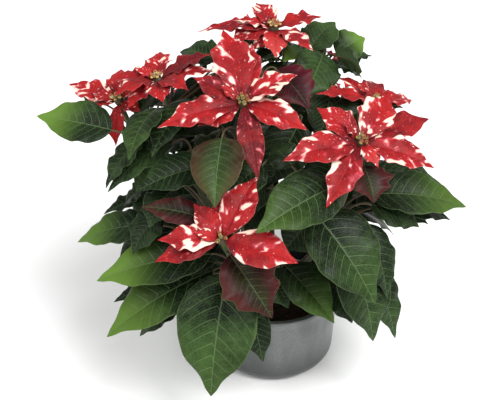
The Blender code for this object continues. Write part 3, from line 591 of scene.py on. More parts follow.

# A leaf: its stem, where on the stem its petiole leaves it (0 at the trunk, 1 at the head), the
# places of its blade's base and tip, its width, its roll, whether its edge is toothed, and how far
# it arches. Then how far its tip turns yellow-green, how much purple it carries, and how much
# lighter its green is than the rest: partly its own tone and partly painted light and shade, darkest
# for the leaves deep in the crown.
Leaf = namedtuple(
    "Leaf",
    "stem leaves_at base tip width roll toothed arch bright purple shade",
    defaults=(0, False, 0.08, 0.0, 0.0, 0.0),
)
LEAVES = (
    Leaf("f", 0.75, (112, 130, 12), (37, 116, 20), 50, roll=-12, arch=0.03, bright=0.85, shade=-0.3),
    Leaf("f", 0.8, (104, 104, 66), (82, 96, 72), 30, bright=0.2, shade=0.1),
    Leaf("e", 0.6, (172, 143, -15), (108, 192, -40), 40),
    Leaf("e", 0.8, (157, 108, 0), (129, 160, -65), 40, bright=0.1, shade=0.05),
    Leaf("e", 0.85, (194, 100, 0), (152, 157, -60), 44, shade=-0.4),
    Leaf("d", 0.6, (207, 166, -50), (138, 191, -75), 48, shade=-0.5),
    Leaf("a", 0.88, (222, 138, -60), (215, 208, -125), 54, bright=0.2, purple=0.6, shade=0.1),
    Leaf("d", 0.5, (150, 226, -40), (78, 242, -25), 44, bright=0.7, shade=0.1),
    Leaf("d", 0.6, (160, 214, -60), (133, 254, -85), 40, shade=-0.4),
    Leaf("d", 0.7, (172, 190, -60), (149, 228, -95), 40, shade=-0.5),
    Leaf("d", 0.85, (205, 219, -95), (142, 207, -75), 30, purple=0.85, shade=-0.2),
    Leaf("d", 0.75, (211, 254, -90), (97, 281, -85), 60, bright=0.85, shade=-0.3),
    Leaf("d", 0.65, (214, 262, -80), (133, 272, -70), 36, shade=-0.2),
    Leaf("d", 0.6, (213, 270, -85), (107, 337, -110), 64, bright=0.7, shade=-0.4),
    Leaf("d", 0.7, (227, 274, -100), (211, 396, -165), 84, bright=0.12, shade=0.25),
    Leaf("d", 0.85, (230, 255, -120), (272, 318, -155), 64, toothed=True, purple=0.8, shade=-0.3),
    Leaf("d", 0.5, (250, 302, -80), (263, 362, -105), 32, shade=-0.1),
    Leaf("c", 0.6, (335, 186, -85), (256, 233, -150), 60, bright=0.25, shade=-0.45),
    Leaf("c", 0.5, (314, 213, -80), (375, 304, -130), 76, bright=0.05, shade=-0.1),
    Leaf("c", 0.4, (345, 240, -70), (373, 341, -115), 66, shade=0.1),
    Leaf("c", 0.4, (364, 262, -50), (395, 338, -85), 42),
    Leaf("c", 0.5, (364, 224, -60), (387, 298, -85), 40, shade=0.1),
    Leaf("c", 0.55, (370, 194, -35), (466, 207, -25), 58, bright=0.45, shade=-0.35),
    Leaf("c", 0.5, (372, 205, -45), (419, 227, -50), 44, shade=-0.1),
    Leaf("c", 0.45, (322, 208, -55), (284, 252, -65), 52, shade=-0.3),
    Leaf("g", 0.7, (385, 170, -10), (430, 188, -5), 34, shade=0.1),
    Leaf("c", 0.88, (364, 166, -70), (374, 203, -100), 50, toothed=True, purple=0.85, shade=-0.2),
    Leaf("c", 0.3, (284, 265, -75), (334, 323, -115), 46, bright=0.3, shade=0.2),
    Leaf("c", 0.3, (268, 270, -80), (288, 308, -100), 36, shade=-0.1),
    Leaf("c", 0.3, (328, 280, -60), (352, 323, -85), 40, shade=-0.1),
    Leaf("j", 0.8, (323, 54, 75), (303, 98, 20), 50, bright=0.05, shade=0.5),
    Leaf("j", 0.62, (331, 60, 78), (346, 96, 45), 44, shade=0.1),
    Leaf("b", 0.85, (310, 50, 80), (335, 22, 115), 42, bright=0.1, shade=0.5),
    Leaf("b", 0.8, (304, 50, 70), (283, 62, 45), 24, bright=0.9, shade=0.4),
    Leaf("a", 0.92, (277, 70, 5), (309, 109, -30), 54, toothed=True, purple=1, shade=-0.4),
    Leaf("j", 0.88, (336, 53, 90), (365, 38, 110), 38, roll=40, bright=0.85, shade=0.5),
    Leaf("j", 0.7, (336, 56, 85), (362, 72, 75), 40, roll=-40, shade=-0.6),
    Leaf("g", 0.85, (352, 104, 20), (403, 108, 30), 30, shade=-0.2),
    Leaf("e", 0.9, (216, 60, 45), (180, 52, 70), 40, shade=-0.3),
    Leaf("e", 0.9, (165, 72, 50), (141, 68, 60), 20),
    Leaf("a", 0.6, (262, 165, -50), (225, 200, -75), 44, shade=-0.2),
    Leaf("a", 0.6, (292, 166, -50), (271, 145, -30), 34, shade=-0.2),
    Leaf("b", 0.8, (277, 52, 60), (238, 78, 40), 46, shade=-0.7),
    Leaf("b", 0.7, (284, 62, 60), (262, 104, 30), 46, shade=-0.6),
    Leaf("j", 0.6, (330, 92, 40), (318, 140, 0), 52, purple=0.3, shade=-0.6),
    Leaf("a", 0.7, (300, 122, 0), (268, 186, -30), 54, shade=-0.7),
    Leaf("e", 0.85, (178, 88, 50), (216, 112, 20), 44, shade=-0.7),
    Leaf("e", 0.8, (160, 92, 40), (134, 122, 20), 44, shade=-0.5),
    Leaf("f", 0.8, (124, 108, 50), (146, 84, 60), 34, shade=-0.5),
    Leaf("c", 0.72, (346, 160, -10), (300, 196, -40), 50, shade=-0.5),
    Leaf("d", 0.6, (232, 232, -50), (200, 276, -60), 48, shade=-0.5),
    Leaf("g", 0.8, (368, 108, 30), (330, 130, 10), 44, purple=0.2, shade=-0.5),
    Leaf("a", 0.5, (222, 120, 10), (176, 136, 0), 46, shade=-0.7),
    Leaf("b", 0.75, (290, 48, 90), (250, 44, 80), 40, shade=-0.7),
    Leaf("a", 0.4, (262, 176, -20), (240, 214, -40), 46, shade=-0.7),
)

# Small dark leaves deep in the crown, their dark green painted shade. The plain solids leave these
# out.
INNER_LEAVES = (
    Leaf("a", 0.8, (275, 104, 15), (240, 126, 10), 34, shade=-0.8),
    Leaf("e", 0.7, (200, 128, 20), (164, 156, 10), 34, shade=-0.8),
    Leaf("d", 0.6, (150, 198, 0), (104, 214, -20), 26, shade=-0.6),
    Leaf("d", 0.6, (150, 236, -20), (104, 250, -40), 24, shade=-0.6),
    Leaf("a", 0.45, (270, 196, 0), (246, 234, -20), 36, shade=-0.8),
    Leaf("b", 0.85, (262, 50, 80), (236, 40, 70), 30, shade=-0.6),
    Leaf("e", 0.9, (222, 56, 50), (196, 72, 45), 30, shade=-0.6),
    Leaf("b", 0.8, (278, 60, 70), (254, 68, 50), 24, shade=-0.6),
    Leaf("j", 0.7, (326, 64, 70), (362, 78, 55), 38, shade=-0.2),
    Leaf("j", 0.8, (345, 62, 90), (372, 56, 85), 24, shade=-0.4),
    Leaf("j", 0.5, (318, 110, 30), (294, 134, 20), 28, shade=-0.7),
    Leaf("f", 0.7, (124, 128, 20), (92, 142, 10), 20, shade=-0.5),
    Leaf("e", 0.7, (142, 140, 0), (106, 188, -30), 34, shade=-0.4),
    Leaf("d", 0.7, (152, 184, 10), (124, 206, 0), 28, shade=-0.7),
    Leaf("c", 0.5, (390, 206, -20), (450, 220, -20), 30, shade=-0.4),
    Leaf("d", 0.6, (185, 296, -70), (140, 336, -80), 34, shade=-0.3),
    Leaf("d", 0.65, (162, 286, -60), (114, 302, -70), 24, shade=-0.4),
    Leaf("a", 0.7, (220, 102, 25), (247, 134, 20), 36, shade=-0.8),
    Leaf("e", 0.6, (216, 124, 35), (182, 140, 30), 34, shade=-0.8),
    Leaf("e", 0.6, (194, 146, 20), (162, 150, 15), 26, shade=-0.8),
    Leaf("b", 0.75, (300, 92, 50), (284, 112, 40), 26, shade=-0.7),
    Leaf("e", 0.85, (180, 98, 45), (150, 108, 45), 22, shade=-0.7),
    Leaf("b", 0.7, (288, 40, 80), (260, 47, 75), 22, shade=-0.7),
    Leaf("d", 0.7, (150, 212, -10), (118, 232, -30), 26, shade=-0.6),
    Leaf("c", 0.5, (384, 208, -25), (428, 224, -30), 26, shade=-0.5),
)


def sight_line(pixel):
    """The direction in which the photograph's viewpoint sees a pixel."""
    across = pixel[0] - VIEW_CENTRE[0]
    down = pixel[1] - VIEW_CENTRE[1]
    return FORWARD * VIEW_FOCAL + RIGHT * across - UP * down


def pixel_of(point):
    """The pixel at which the photograph's viewpoint sees a point."""
    line = point - EYE
    scale = VIEW_FOCAL / line.dot(FORWARD)
    return VIEW_CENTRE[0] + line.dot(RIGHT) * scale, VIEW_CENTRE[1] - line.dot(UP) * scale


def seen(place):
    """The point of a place given as (pixel x, pixel y, millimetres behind the pot's axis)."""
    line = sight_line(place[:2])
    return EYE + line * ((place[2] * MM - EYE.y) / line.y)


def seen_on_plane(pixel, point, normal):
    """The point where a pixel's line of sight meets a plane."""
    line = sight_line(pixel)
    return EYE + line * ((point - EYE).dot(normal) / line.dot(normal))


def outline(t, form, toothed):
    """Half-width of a blade at t along its midrib, for a greatest half-width of 1."""
    widest, root_power = form
    tip_power = root_power * (1 - widest) / widest
    half = (t / widest) ** root_power * ((1 - t) / (1 - widest)) ** tip_power
    if toothed:
        near = min(abs(t - tooth) for tooth in TEETH)
        half = half * 0.84 + 0.26 * max(0.0, 1 - near / TOOTH_REACH) * (1.2 - t)
    return half


class Blade:
    """One leaf or bract: a thin sheet along its arched midrib, and a leaf's narrow petiole."""

    def __init__(self, node, root, base, tip, facing, width, roll, toothed, arch):
        self.node = node
        self.root = root
        self.base = base
        self.tip = tip
        self.toothed = toothed
        chord = tip - base
        along = chord.normalized()
        normal = (facing - along * facing.dot(along)).normalized()
        normal = Quaternion(along, math.radians(roll)) @ normal
        self.length = chord.length
        self.along = along
        self.normal = normal
        self.half_width = width * MM / 2
        self.arch = arch
        self.form = BRACT_FORM if root is None else LEAF_FORM
        self.stations = TOOTHED_STATIONS if toothed else PLAIN_STATIONS
        folded = width > (FOLDED_BRACT if root is None else FOLDED_LEAF)
        self.across = ACROSS if folded else FLAT_ACROSS
        self.look = None

    def midrib(self, t):
        """The midrib's point at t and the blade's normal there."""
        point = self.base + self.along * (self.length * t)
        point = point + self.normal * (self.arch * self.length * 4 * t * (1 - t))
        normal = self.normal - self.along * (self.arch * 4 * (1 - 2 * t))
        return point, normal.normalized()

    def petiole(self):
        """The petiole's points, from its stem to just short of the blade."""
        bend = self.base - self.along * ((self.base - self.root).length * 0.35)
        middle = self.root.lerp(bend, 0.5).lerp(bend.lerp(self.base, 0.5), 0.5)
        return [self.root, middle, self.base]

    def sheet(self, lift=0.0):
        """The rows of points from the petiole's root to the blade's tip, raised by lift."""
        side = self.along.cross(self.normal)
        rows = []
        for t in self.stations:
            point, normal = self.midrib(t)
            half = self.half_width * outline(t, self.form, self.toothed)
            half = max(half, PETIOLE_RADIUS * (1 - t), BLADE_TIP)
            rows.append(self.row(point, side, normal, half, lift))
        if self.root is not None:
            path = self.petiole()
            for point, after in reversed(list(zip(path, path[1:]))):
                ahead = (after - point).normalized()
                side = (side - ahead * side.dot(ahead)).normalized()
                rows.insert(0, self.row(point, side, side.cross(ahead), PETIOLE_RADIUS, lift))
        return rows

    def row(self, middle, side, normal, half, lift):
        """Points across the blade, folded up from its midrib."""
        points = []
        for u in self.across:
            out = side * (u * half * math.cos(FOLD))
            up = normal * (abs(u) * half * math.sin(FOLD) + lift)
            points.append(middle + out + up)
        return points

    def shell(self, first=0):
        """A closed shell, from a first row on, that holds the blade and its clearance."""
        lift = BLADE_THICKNESS / 2 + CLEARANCE
        rows = self.sheet(lift)[first:]
        over, faces = strip(rows)
        under = strip(self.sheet(-lift)[first:])[0]
        count, columns = len(over), len(rows[0])
        left = list(range(0, count, columns))
        right = [i + columns - 1 for i in left]
        edge = left + list(range(count - columns + 1, count)) + right[-2::-1]
        edge += list(range(columns - 2, 0, -1))
        rim = []
        for a, b in zip(edge, edge[1:] + edge[:1]):
            rim += [[a, b, b + count], [a, b + count, a + count]]
        return over + under, faces + [[i + count for i in face] for face in faces] + rim


def strip(rows):
    """The points and triangles of a sheet, split alike on both sides of its midrib."""
    columns = len(rows[0])
    faces = []
    for row in range(len(rows) - 1):
        for column in range(columns - 1):
            a = row * columns + column
            b, c, d = a + 1, a + columns, a + columns + 1
            if column < columns // 2:
                faces += [[a, b, d], [a, d, c]]
            else:
                faces += [[a, b, c], [b, d, c]]
    return [point for row in rows for point in row], faces


def tube_shell(path, radii):
    """A six-sided tube that holds a round one and its clearance, for the crossing test."""
    rings = []
    for i, centre in enumerate(path):
        ahead = (path[min(i + 1, len(path) - 1)] - path[max(i - 1, 0)]).normalized()
        aside = ahead.orthogonal().normalized() * (radii[i] * HEXAGON + CLEARANCE)
        turns = [Quaternion(ahead, math.radians(60 * k)) for k in range(6)]
        rings.append([centre + turn @ aside for turn in turns])
    return ring_shell(rings)


def ring_shell(rings):
    """The points and triangles of a surface through rings of points."""
    sides = len(rings[0])
    faces = []
    for ring in range(len(rings) - 1):
        for i in range(sides):
            a, b = ring * sides + i, ring * sides + (i + 1) % sides
            faces += [[a, b, b + sides], [a, b + sides, a + sides]]
    return [point for ring in rings for point in ring], faces


class Obstacles:
    """What is placed so far, for the test that no two nodes cross."""

    def __init__(self):
        self.placed = []
        self.blades = []

    def add(self, node, shell):
        points, triangles = shell
        self.placed.append((node, BVHTree.FromPolygons(points, triangles), limits_of(points)))

    def add_blade(self, blade):
        self.add(blade.node, blade.shell())
        points, triangles = blade.shell(ROOT_ROWS)
        tree = BVHTree.FromPolygons(points, triangles)
        self.blades.append((blade.node, tree, limits_of(points)))

    def clear_of_others(self, node, shell):
        """Whether a shell crosses nothing of another node."""
        return not crosses(shell, [item for item in self.placed if item[0] != node])

    def clear_of_siblings(self, blade):
        """Whether a blade crosses no other blade of its own node, but for their roots."""
        siblings = [item for item in self.blades if item[0] == blade.node]
        return not crosses(blade.shell(ROOT_ROWS), siblings)

    def first_clear(self, candidates):
        """The first candidate that crosses nothing, or else the first that only meets siblings."""
        second_best = None
        for blade in candidates:
            if not self.clear_of_others(blade.node, blade.shell()):
                continue
            if self.clear_of_siblings(blade):
                self.add_blade(blade)
                return blade
            second_best = second_best or blade
        if second_best is not None:
            self.add_blade(second_best)
        return second_best


def limits_of(points):
    """The least and greatest corner of some points."""
    low = [min(point[axis] for point in points) for axis in range(3)]
    high = [max(point[axis] for point in points) for axis in range(3)]
    return low, high


def crosses(shell, placed):
    points, triangles = shell
    tree = BVHTree.FromPolygons(points, triangles)
    low, high = limits_of(points)
    for _, other, (other_low, other_high) in placed:
        if any(low[axis] > other_high[axis] or other_low[axis] > high[axis] for axis in range(3)):
            continue
        if tree.overlap(other):
            return True
    return False


def nearer_first(step, furthest):
    """Shifts of 0, then of whole steps each way, in millimetres."""
    shifts = [0]
    for shift in range(step, furthest + 1, step):
        shifts += [-shift, shift]
    return shifts


def slid(point, shift):
    """A point moved along its own line of sight, so that it looks the same in the photograph."""
    return point + (point - EYE).normalized() * shift * MM


def head_place(head):
    """A head's centre and the direction it faces."""
    return seen(head.centre), Vector((head.lean[0], head.lean[1], 1)).normalized()


def stem_path(head):
    """A stem's points: it leaves the trunk level, then turns up into its head."""
    centre, facing = head_place(head)
    turn = math.radians(head.turn)
    outward = Vector((math.cos(turn), math.sin(turn), 0))
    foot = outward * (TRUNK_RADIUS + GAP) + Vector((0, 0, head.height * MM))
    start = foot + outward * STEM_START
    end = centre - facing * (HUB_RADIUS + GAP)
    pull = (end - start).length * 0.38
    second = start + (outward * 0.8 + Vector((0, 0, 0.6))) * pull
    third = end - facing * pull
    points = [foot]
    for i in range(STEM_STEPS + 1):
        t = i / STEM_STEPS
        near = start * (1 - t) ** 3 + second * 3 * t * (1 - t) ** 2
        points.append(near + third * 3 * t * t * (1 - t) + end * t**3)
    return points


def stem_radii(path):
    """A stem's radius at each of its points."""
    share = [i / (len(path) - 1) for i in range(len(path))]
    return [STEM_FOOT_RADIUS + (STEM_TOP_RADIUS - STEM_FOOT_RADIUS) * t for t in share]


def along_path(path, t):
    """The point at a share t of a path's steps."""
    place = t * (len(path) - 1)
    i = min(int(place), len(path) - 2)
    return path[i].lerp(path[i + 1], place - i)


def form_of(row):
    """A table row's width, roll, teeth and arch."""
    return row.width, row.roll, row.toothed, row.arch


def seen_bracts(key, bract):
    """A bract as it is seen, then with its tip slid along the line of sight."""
    centre, facing = head_place(HEADS[key])
    tip = seen_on_plane(bract.tip, centre + facing * bract.rise * MM, facing)
    for shift in nearer_first(4, 48):
        yield bract_to(key, slid(tip, shift), *form_of(bract))


def bract_to(key, tip, width, roll, toothed, arch):
    """A bract that grows from inside its head's hub."""
    centre, facing = head_place(HEADS[key])
    base = centre + (tip - centre).normalized() * HUB_RADIUS * 0.6
    return Blade("bracts_" + key, None, base, tip, facing, width, roll, toothed, arch)


def level_in(key, turn):
    """The direction in a head's plane at a turn in degrees, with 0 away from the viewpoint."""
    facing = head_place(HEADS[key])[1]
    behind = Vector((0, 1, 0)) - facing * facing.y
    return Quaternion(facing, math.radians(turn)) @ behind.normalized()


def ruled(blade):
    """A blade placed by rule is plainer: flat, and with fewer stations."""
    blade.across = FLAT_ACROSS
    blade.stations = RULED_STATIONS
    return blade


def ruled_bracts(key, turn, length, rise):
    """A bract placed by rule, swung or lifted until it is clear."""
    centre, facing = head_place(HEADS[key])
    for lift in nearer_first(6, 24):
        for swing in nearer_first(8, 16):
            level = level_in(key, turn + swing)
            tip = centre + level * length * MM + facing * (rise + lift) * MM
            blade = bract_to(key, tip, length * 0.48, 0, False, 0.07)
            yield ruled(blade)


def seen_leaves(leaf, path):
    """A leaf as it is seen, then with its ends slid along the line of sight."""
    base, tip = seen(leaf.base), seen(leaf.tip)
    outward = (base + tip) / 2 - CROWN_CENTRE
    outward.z = 0
    facing = outward.normalized() * 0.6 + Vector((0, 0, 1))
    shifts = [(near, far) for near in nearer_first(6, 18) for far in nearer_first(6, 36)]
    shifts.sort(key=lambda pair: abs(pair[0]) * 1.4 + abs(pair[1]))
    node = "leaves_" + leaf.stem
    for near, far in shifts:
        for slip in (0.0, -0.12, 0.08):
            root = along_path(path, min(leaf.leaves_at + slip, 0.95))
            ends = slid(base, near), slid(tip, far)
            yield Blade(node, root, *ends, facing, *form_of(leaf))


def ruled_leaves(key, path, share, turn, length):
    """A leaf placed by rule inside the crown, swung and lowered until it is clear."""
    root = along_path(path, share)
    for slope in (-22, -8, -36, 6, -50):
        for swing in nearer_first(12, 36):
            angle = math.radians(turn + swing)
            drop = math.radians(slope)
            level = Vector((math.cos(angle), math.sin(angle), 0))
            ahead = level * math.cos(drop) + Vector((0, 0, math.sin(drop)))
            base = root + (level * 0.8 + Vector((0, 0, 0.3))) * length * 0.4 * MM
            tip = base + ahead * length * MM
            facing = Vector((0, 0, 1)) + level * 0.3
            blade = Blade("leaves_" + key, root, base, tip, facing, length / 2, 0, False, 0.08)
            if inside_crown(blade):
                yield ruled(blade)


def inside_crown(blade):
    """Whether a leaf stays in the dome and shows nowhere past the photographed plant's outline."""
    offset = blade.tip - CROWN_CENTRE
    if sum((offset[axis] / CROWN_RADII[axis]) ** 2 for axis in range(3)) > 1:
        return False
    if blade.tip.y < CROWN_FRONT or blade.tip.z < CROWN_FOOT:
        return False
    points = [point for row in blade.sheet()[ROOT_ROWS:] for point in row]
    return all(in_outline(pixel_of(point)) for point in points)


def in_outline(pixel):
    """Whether a pixel lies inside the crown's outline, by counting the edges to one side of it."""
    inside = False
    for first, second in zip(CROWN_OUTLINE, CROWN_OUTLINE[1:] + CROWN_OUTLINE[:1]):
        if (first[1] > pixel[1]) != (second[1] > pixel[1]):
            share = (pixel[1] - first[1]) / (second[1] - first[1])
            if pixel[0] < first[0] + share * (second[0] - first[0]):
                inside = not inside
    return inside


def pot_shell():
    """The pot's outside, its rim and the soil, with their clearance, for the crossing test."""
    sides = 24
    out = 1 / math.cos(math.pi / sides)
    inside = wall_radius(SOIL_TOP) - POT_WALL - CLEARANCE
    soil = SOIL_TOP + SOIL_RISE + CLEARANCE
    profile = (
        (GAP, soil),
        (inside, soil),
        (inside, POT_HEIGHT + CLEARANCE),
        ((POT_RIM_RADIUS + CLEARANCE) * out, POT_HEIGHT + CLEARANCE),
        ((POT_RIM_RADIUS + CLEARANCE) * out, POT_HEIGHT - POT_LIP_HEIGHT),
        ((POT_FOOT_RADIUS + CLEARANCE) * out, 0),
    )
    angles = [2 * math.pi * i / sides for i in range(sides)]
    return ring_shell(
        [
            [Vector((radius * math.cos(a), radius * math.sin(a), height)) for a in angles]
            for radius, height in profile
        ]
    )


def place_heads(obstacles):
    """The hubs and the clusters of cyathia, as tubes that the blades keep clear of."""
    for key, head in HEADS.items():
        centre, facing = head_place(head)
        hub = [centre + facing * share * HUB_RADIUS for share in (-1, -0.7, 0, 0.7, 1)]
        widths = [HUB_RADIUS * share for share in (0.1, 0.72, 1, 0.72, 0.1)]
        obstacles.add("bracts_" + key, tube_shell(hub, widths))
        foot = centre + facing * (HUB_RADIUS + GAP)
        cluster = [foot, foot + facing * CYATHIA_HEIGHT]
        obstacles.add("cyathia_" + key, tube_shell(cluster, [CYATHIA_FOOT, CYATHIA_SPREAD]))


def noted(blade, row):
    """The blade, with the row of the table that tells its colours."""
    if blade is not None:
        blade.look = row
    return blade


def grown():
    """The stems' paths, and all the blades, each in the first place where it crosses nothing of
    another node."""
    obstacles = Obstacles()
    paths = {key: stem_path(head) for key, head in HEADS.items()}
    for key, path in paths.items():
        obstacles.add("leaves_" + key, tube_shell(path, stem_radii(path)))
    obstacles.add("pot", pot_shell())
    wood = [Vector((0, 0, TRUNK_FOOT)), Vector((0, 0, TRUNK_TOP + GAP))]
    obstacles.add("trunk", tube_shell(wood, [TRUNK_RADIUS, TRUNK_RADIUS]))
    place_heads(obstacles)
    blades = []
    for key, row in BRACTS.items():
        for bract in row:
            blades.append(noted(obstacles.first_clear(seen_bracts(key, bract)), bract))
    for leaf in LEAVES:
        blades.append(noted(obstacles.first_clear(seen_leaves(leaf, paths[leaf.stem])), leaf))
    blades = [blade for blade in blades if blade is not None]
    for key in HEADS:
        turns = RING_TURNS if key in HIDDEN_HEADS else HIDDEN_TURNS
        for turn in turns:
            level = level_in(key, turn)
            if not any(b.node == "bracts_" + key and b.along.dot(level) > 0.8 for b in blades):
                blades.append(obstacles.first_clear(ruled_bracts(key, turn, BACK_BRACT, 0)))
        blades.append(obstacles.first_clear(ruled_bracts(key, SMALL_TURN, SMALL_BRACT, 12)))
    for key, path in paths.items():
        for i in range(RULED_LEAVES[key]):
            rank = (i + 0.5) / RULED_LEAVES[key]
            turn = HEADS[key].turn + i * GOLDEN_TURN % LEAF_FAN - LEAF_FAN / 2
            length = RULED_LEAF * (1 - 0.35 * rank)
            found = ruled_leaves(key, path, 0.3 + 0.6 * rank, turn, length)
            blades.append(obstacles.first_clear(found))
    for leaf in INNER_LEAVES:
        blades.append(noted(obstacles.first_clear(seen_leaves(leaf, paths[leaf.stem])), leaf))
    return paths, [blade for blade in blades if blade is not None]


stem_paths, blades = grown()

SHEET_THICKNESS = 0.5 * MM
LEAF_VEINS = 10
USUAL_LEAF = 100 * MM
LEAF_RELIEF = 0.42 * MM
LEAF_WAVE = 1.7 * MM
TIP_DRAWN_IN = 0.3
TIP_PLACE = 0.87
TIP_SPAN = 0.1
SEEN_GRID = (53, 25)
RULED_GRID = (29, 13)
STEM_SIDES = 14
PETIOLE_SIDES = 8
PETIOLE_STEPS = 12
PETIOLE_TAPER = ((0, 0.08, 0.5, 1), (1.7, 1.2, 1.0, 0.25))
FULL_TURN = 2 * math.pi
LEAF, STALK = 0, 1


class Piece:
    """The points, faces and colour notes of one growing piece, gathered part by part."""

    def __init__(self):
        self.points = []
        self.faces = []
        self.finishes = []
        self.notes = {"place": [], "kind": [], "tint": []}
        self.count = 0

    def add(self, points, faces, finish, place, kind, tint):
        """Adds a part whose points carry three notes each: place, kind and tint."""
        self.points.append(points)
        self.faces += [[i + self.count for i in face] for face in faces]
        self.finishes += [finish] * len(faces)
        for title, values in (("place", place), ("kind", kind), ("tint", tint)):
            self.notes[title].append(np.broadcast_to(values, points.shape))
        self.count += len(points)

    def made(self, name, *finishes):
        """The mesh object of all the parts, with their notes as attributes of its points."""
        made = add_piece(name, np.concatenate(self.points), self.faces, *finishes)
        made.data.polygons.foreach_set("material_index", self.finishes)
        for title, values in self.notes.items():
            attribute = made.data.attributes.new(title, "FLOAT_VECTOR", "POINT")
            attribute.data.foreach_set("vector", np.concatenate(values).ravel())
        return made


def grid_faces(rows, columns):
    """Faces of a thin closed sheet: its upper grid, its lower one, and the rim between them."""
    faces = []
    under = rows * columns
    for i in range(rows - 1):
        for j in range(columns - 1):
            a = i * columns + j
            quad = (a, a + 1, a + columns + 1, a + columns)
            faces.append(quad)
            faces.append(tuple(k + under for k in reversed(quad)))
    edge = list(range(columns - 1, -1, -1))
    edge += list(range(columns, (rows - 1) * columns, columns))
    edge += list(range((rows - 1) * columns, rows * columns))
    edge += list(range((rows - 1) * columns - 1, columns - 1, -columns))
    for a, b in zip(edge, edge[1:] + edge[:1]):
        faces.append((a, b, b + under, a + under))
    return faces


def vein_number(t, y):
    """Which side vein a place is on: they leave the midrib at a slant and bend to the tip."""
    return t - 0.4 * abs(y) - 1.2 * y * y


def crease(vein):
    """0 on a side vein, and 1 halfway to the next."""
    return np.abs(np.sin(np.pi * vein))


def blade_sheet(blade, grid, seed, veins, relief, wave):
    """The middle surface of a blade as a grid of points, the way that it faces at each, where each
    is on the blade, and the number of the side vein that it is on."""
    rows, columns = grid
    t = np.linspace(0, 1, rows)[:, None]
    v = np.linspace(-1, 1, columns)[None, :]
    form = np.array([outline(share, blade.form, blade.toothed) for share in t[:, 0]])
    form = form * (1 - TIP_DRAWN_IN * np.exp(-(((t[:, 0] - TIP_PLACE) / TIP_SPAN) ** 2)))
    taper = PETIOLE_RADIUS * (1 - t[:, 0])
    half = np.maximum(np.maximum(blade.half_width * form, taper), BLADE_TIP)[:, None]
    along, normal = np.array(blade.along), np.array(blade.normal)
    side = np.cross(along, normal)
    middle = np.array(blade.base) + along * (blade.length * t)
    middle = middle + normal * (blade.arch * blade.length * 4 * t * (1 - t))
    up = normal - along * (blade.arch * 4 * (1 - 2 * t))
    up = up / np.linalg.norm(up, axis=1, keepdims=True)
    y = v * half / blade.length
    vein = vein_number(t, y) * veins + 0.5 * (v > 0)
    flat = blade.across == FLAT_ACROSS
    lift = half * math.sin(FOLD) * (0.5 + 0.5 * np.abs(v) if flat else np.abs(v))
    lift = lift + half * 0.07 * np.sin(np.pi * np.abs(v))
    grown_share = half / blade.half_width
    lift = lift + relief * grown_share * (crease(vein) - 0.6) * np.minimum(1, np.abs(v) * 5)
    lift = lift - relief * 1.5 * np.exp(-((y * blade.length / (1.3 * MM)) ** 2)) * (1 - t)
    swing = np.sin((t * 3.1 + seed + 0.4 * np.sign(v)) * FULL_TURN)
    swing = swing + 0.5 * np.sin((t * 5.7 - seed) * FULL_TURN)
    lift = lift + wave * swing * np.abs(v) ** 3 * grown_share
    points = middle[:, None, :] + side * (v * half * math.cos(FOLD))[..., None]
    points = points + up[:, None, :] * lift[..., None]
    facing = np.cross(np.gradient(points, axis=1), np.gradient(points, axis=0))
    facing = facing / np.maximum(np.linalg.norm(facing, axis=2, keepdims=True), 1e-12)
    place = np.stack(np.broadcast_arrays(t, y, np.abs(v)), axis=2)
    return points, facing, place, vein


def add_blade(piece, blade, grid, seed, veins, relief, wave, tint):
    """A thin closed blade, with its colour notes on its upper and lower side."""
    points, facing, place, vein = blade_sheet(blade, grid, seed, veins, relief, wave)
    half = SHEET_THICKNESS / 2 * (1 - 0.6 * place[..., 2:] ** 6)
    both = np.concatenate([points + facing * half, points - facing * half]).reshape(-1, 3)
    places = np.concatenate([place, place]).reshape(-1, 3)
    kind = np.zeros_like(places)
    kind[:, 0] = seed
    kind[len(kind) // 2 :, 1] = 1
    kind[:, 2] = np.concatenate([vein, vein]).ravel()
    tints = tint(places[:, 0], places[:, 1] * blade.length / blade.half_width, places[:, 2], both)
    piece.add(both, grid_faces(*grid), LEAF, places, kind, np.stack(tints, axis=1))
    return points


def tube(path, radii, sides):
    """The points and faces of a round tube along a path, closed at both ends."""
    path = np.array(path)
    ahead = np.gradient(path, axis=0)
    ahead = ahead / np.linalg.norm(ahead, axis=1, keepdims=True)
    aside = np.array(Vector(ahead[0]).orthogonal().normalized())
    turns = np.arange(sides) * 2 * math.pi / sides
    rings = []
    for point, way, radius in zip(path, ahead, radii):
        aside = aside - way * aside.dot(way)
        aside = aside / np.linalg.norm(aside)
        across = np.cross(way, aside)
        ring = np.outer(np.cos(turns), aside) + np.outer(np.sin(turns), across)
        rings.append(point + ring * radius)
    faces = [list(range(sides - 1, -1, -1))]
    for ring in range(len(path) - 1):
        for i in range(sides):
            a, b = ring * sides + i, ring * sides + (i + 1) % sides
            faces.append([a, b, b + sides, a + sides])
    last = (len(path) - 1) * sides
    faces.append(list(range(last, last + sides)))
    return np.concatenate(rings), faces


def smooth_path(path, steps):
    """More points on a smooth curve through a path's points."""
    points = [Vector(point) for point in path]
    points = [points[0] * 2 - points[1], *points, points[-1] * 2 - points[-2]]
    curve = []
    for a, b, c, d in zip(points, points[1:], points[2:], points[3:]):
        for i in range(steps):
            t = i / steps
            curve.append(
                (b * 2 + (c - a) * t + (a * 2 - b * 5 + c * 4 - d) * t**2
                 + (b * 3 - a - c * 3 + d) * t**3) / 2
            )
    curve.append(points[-2])
    return curve


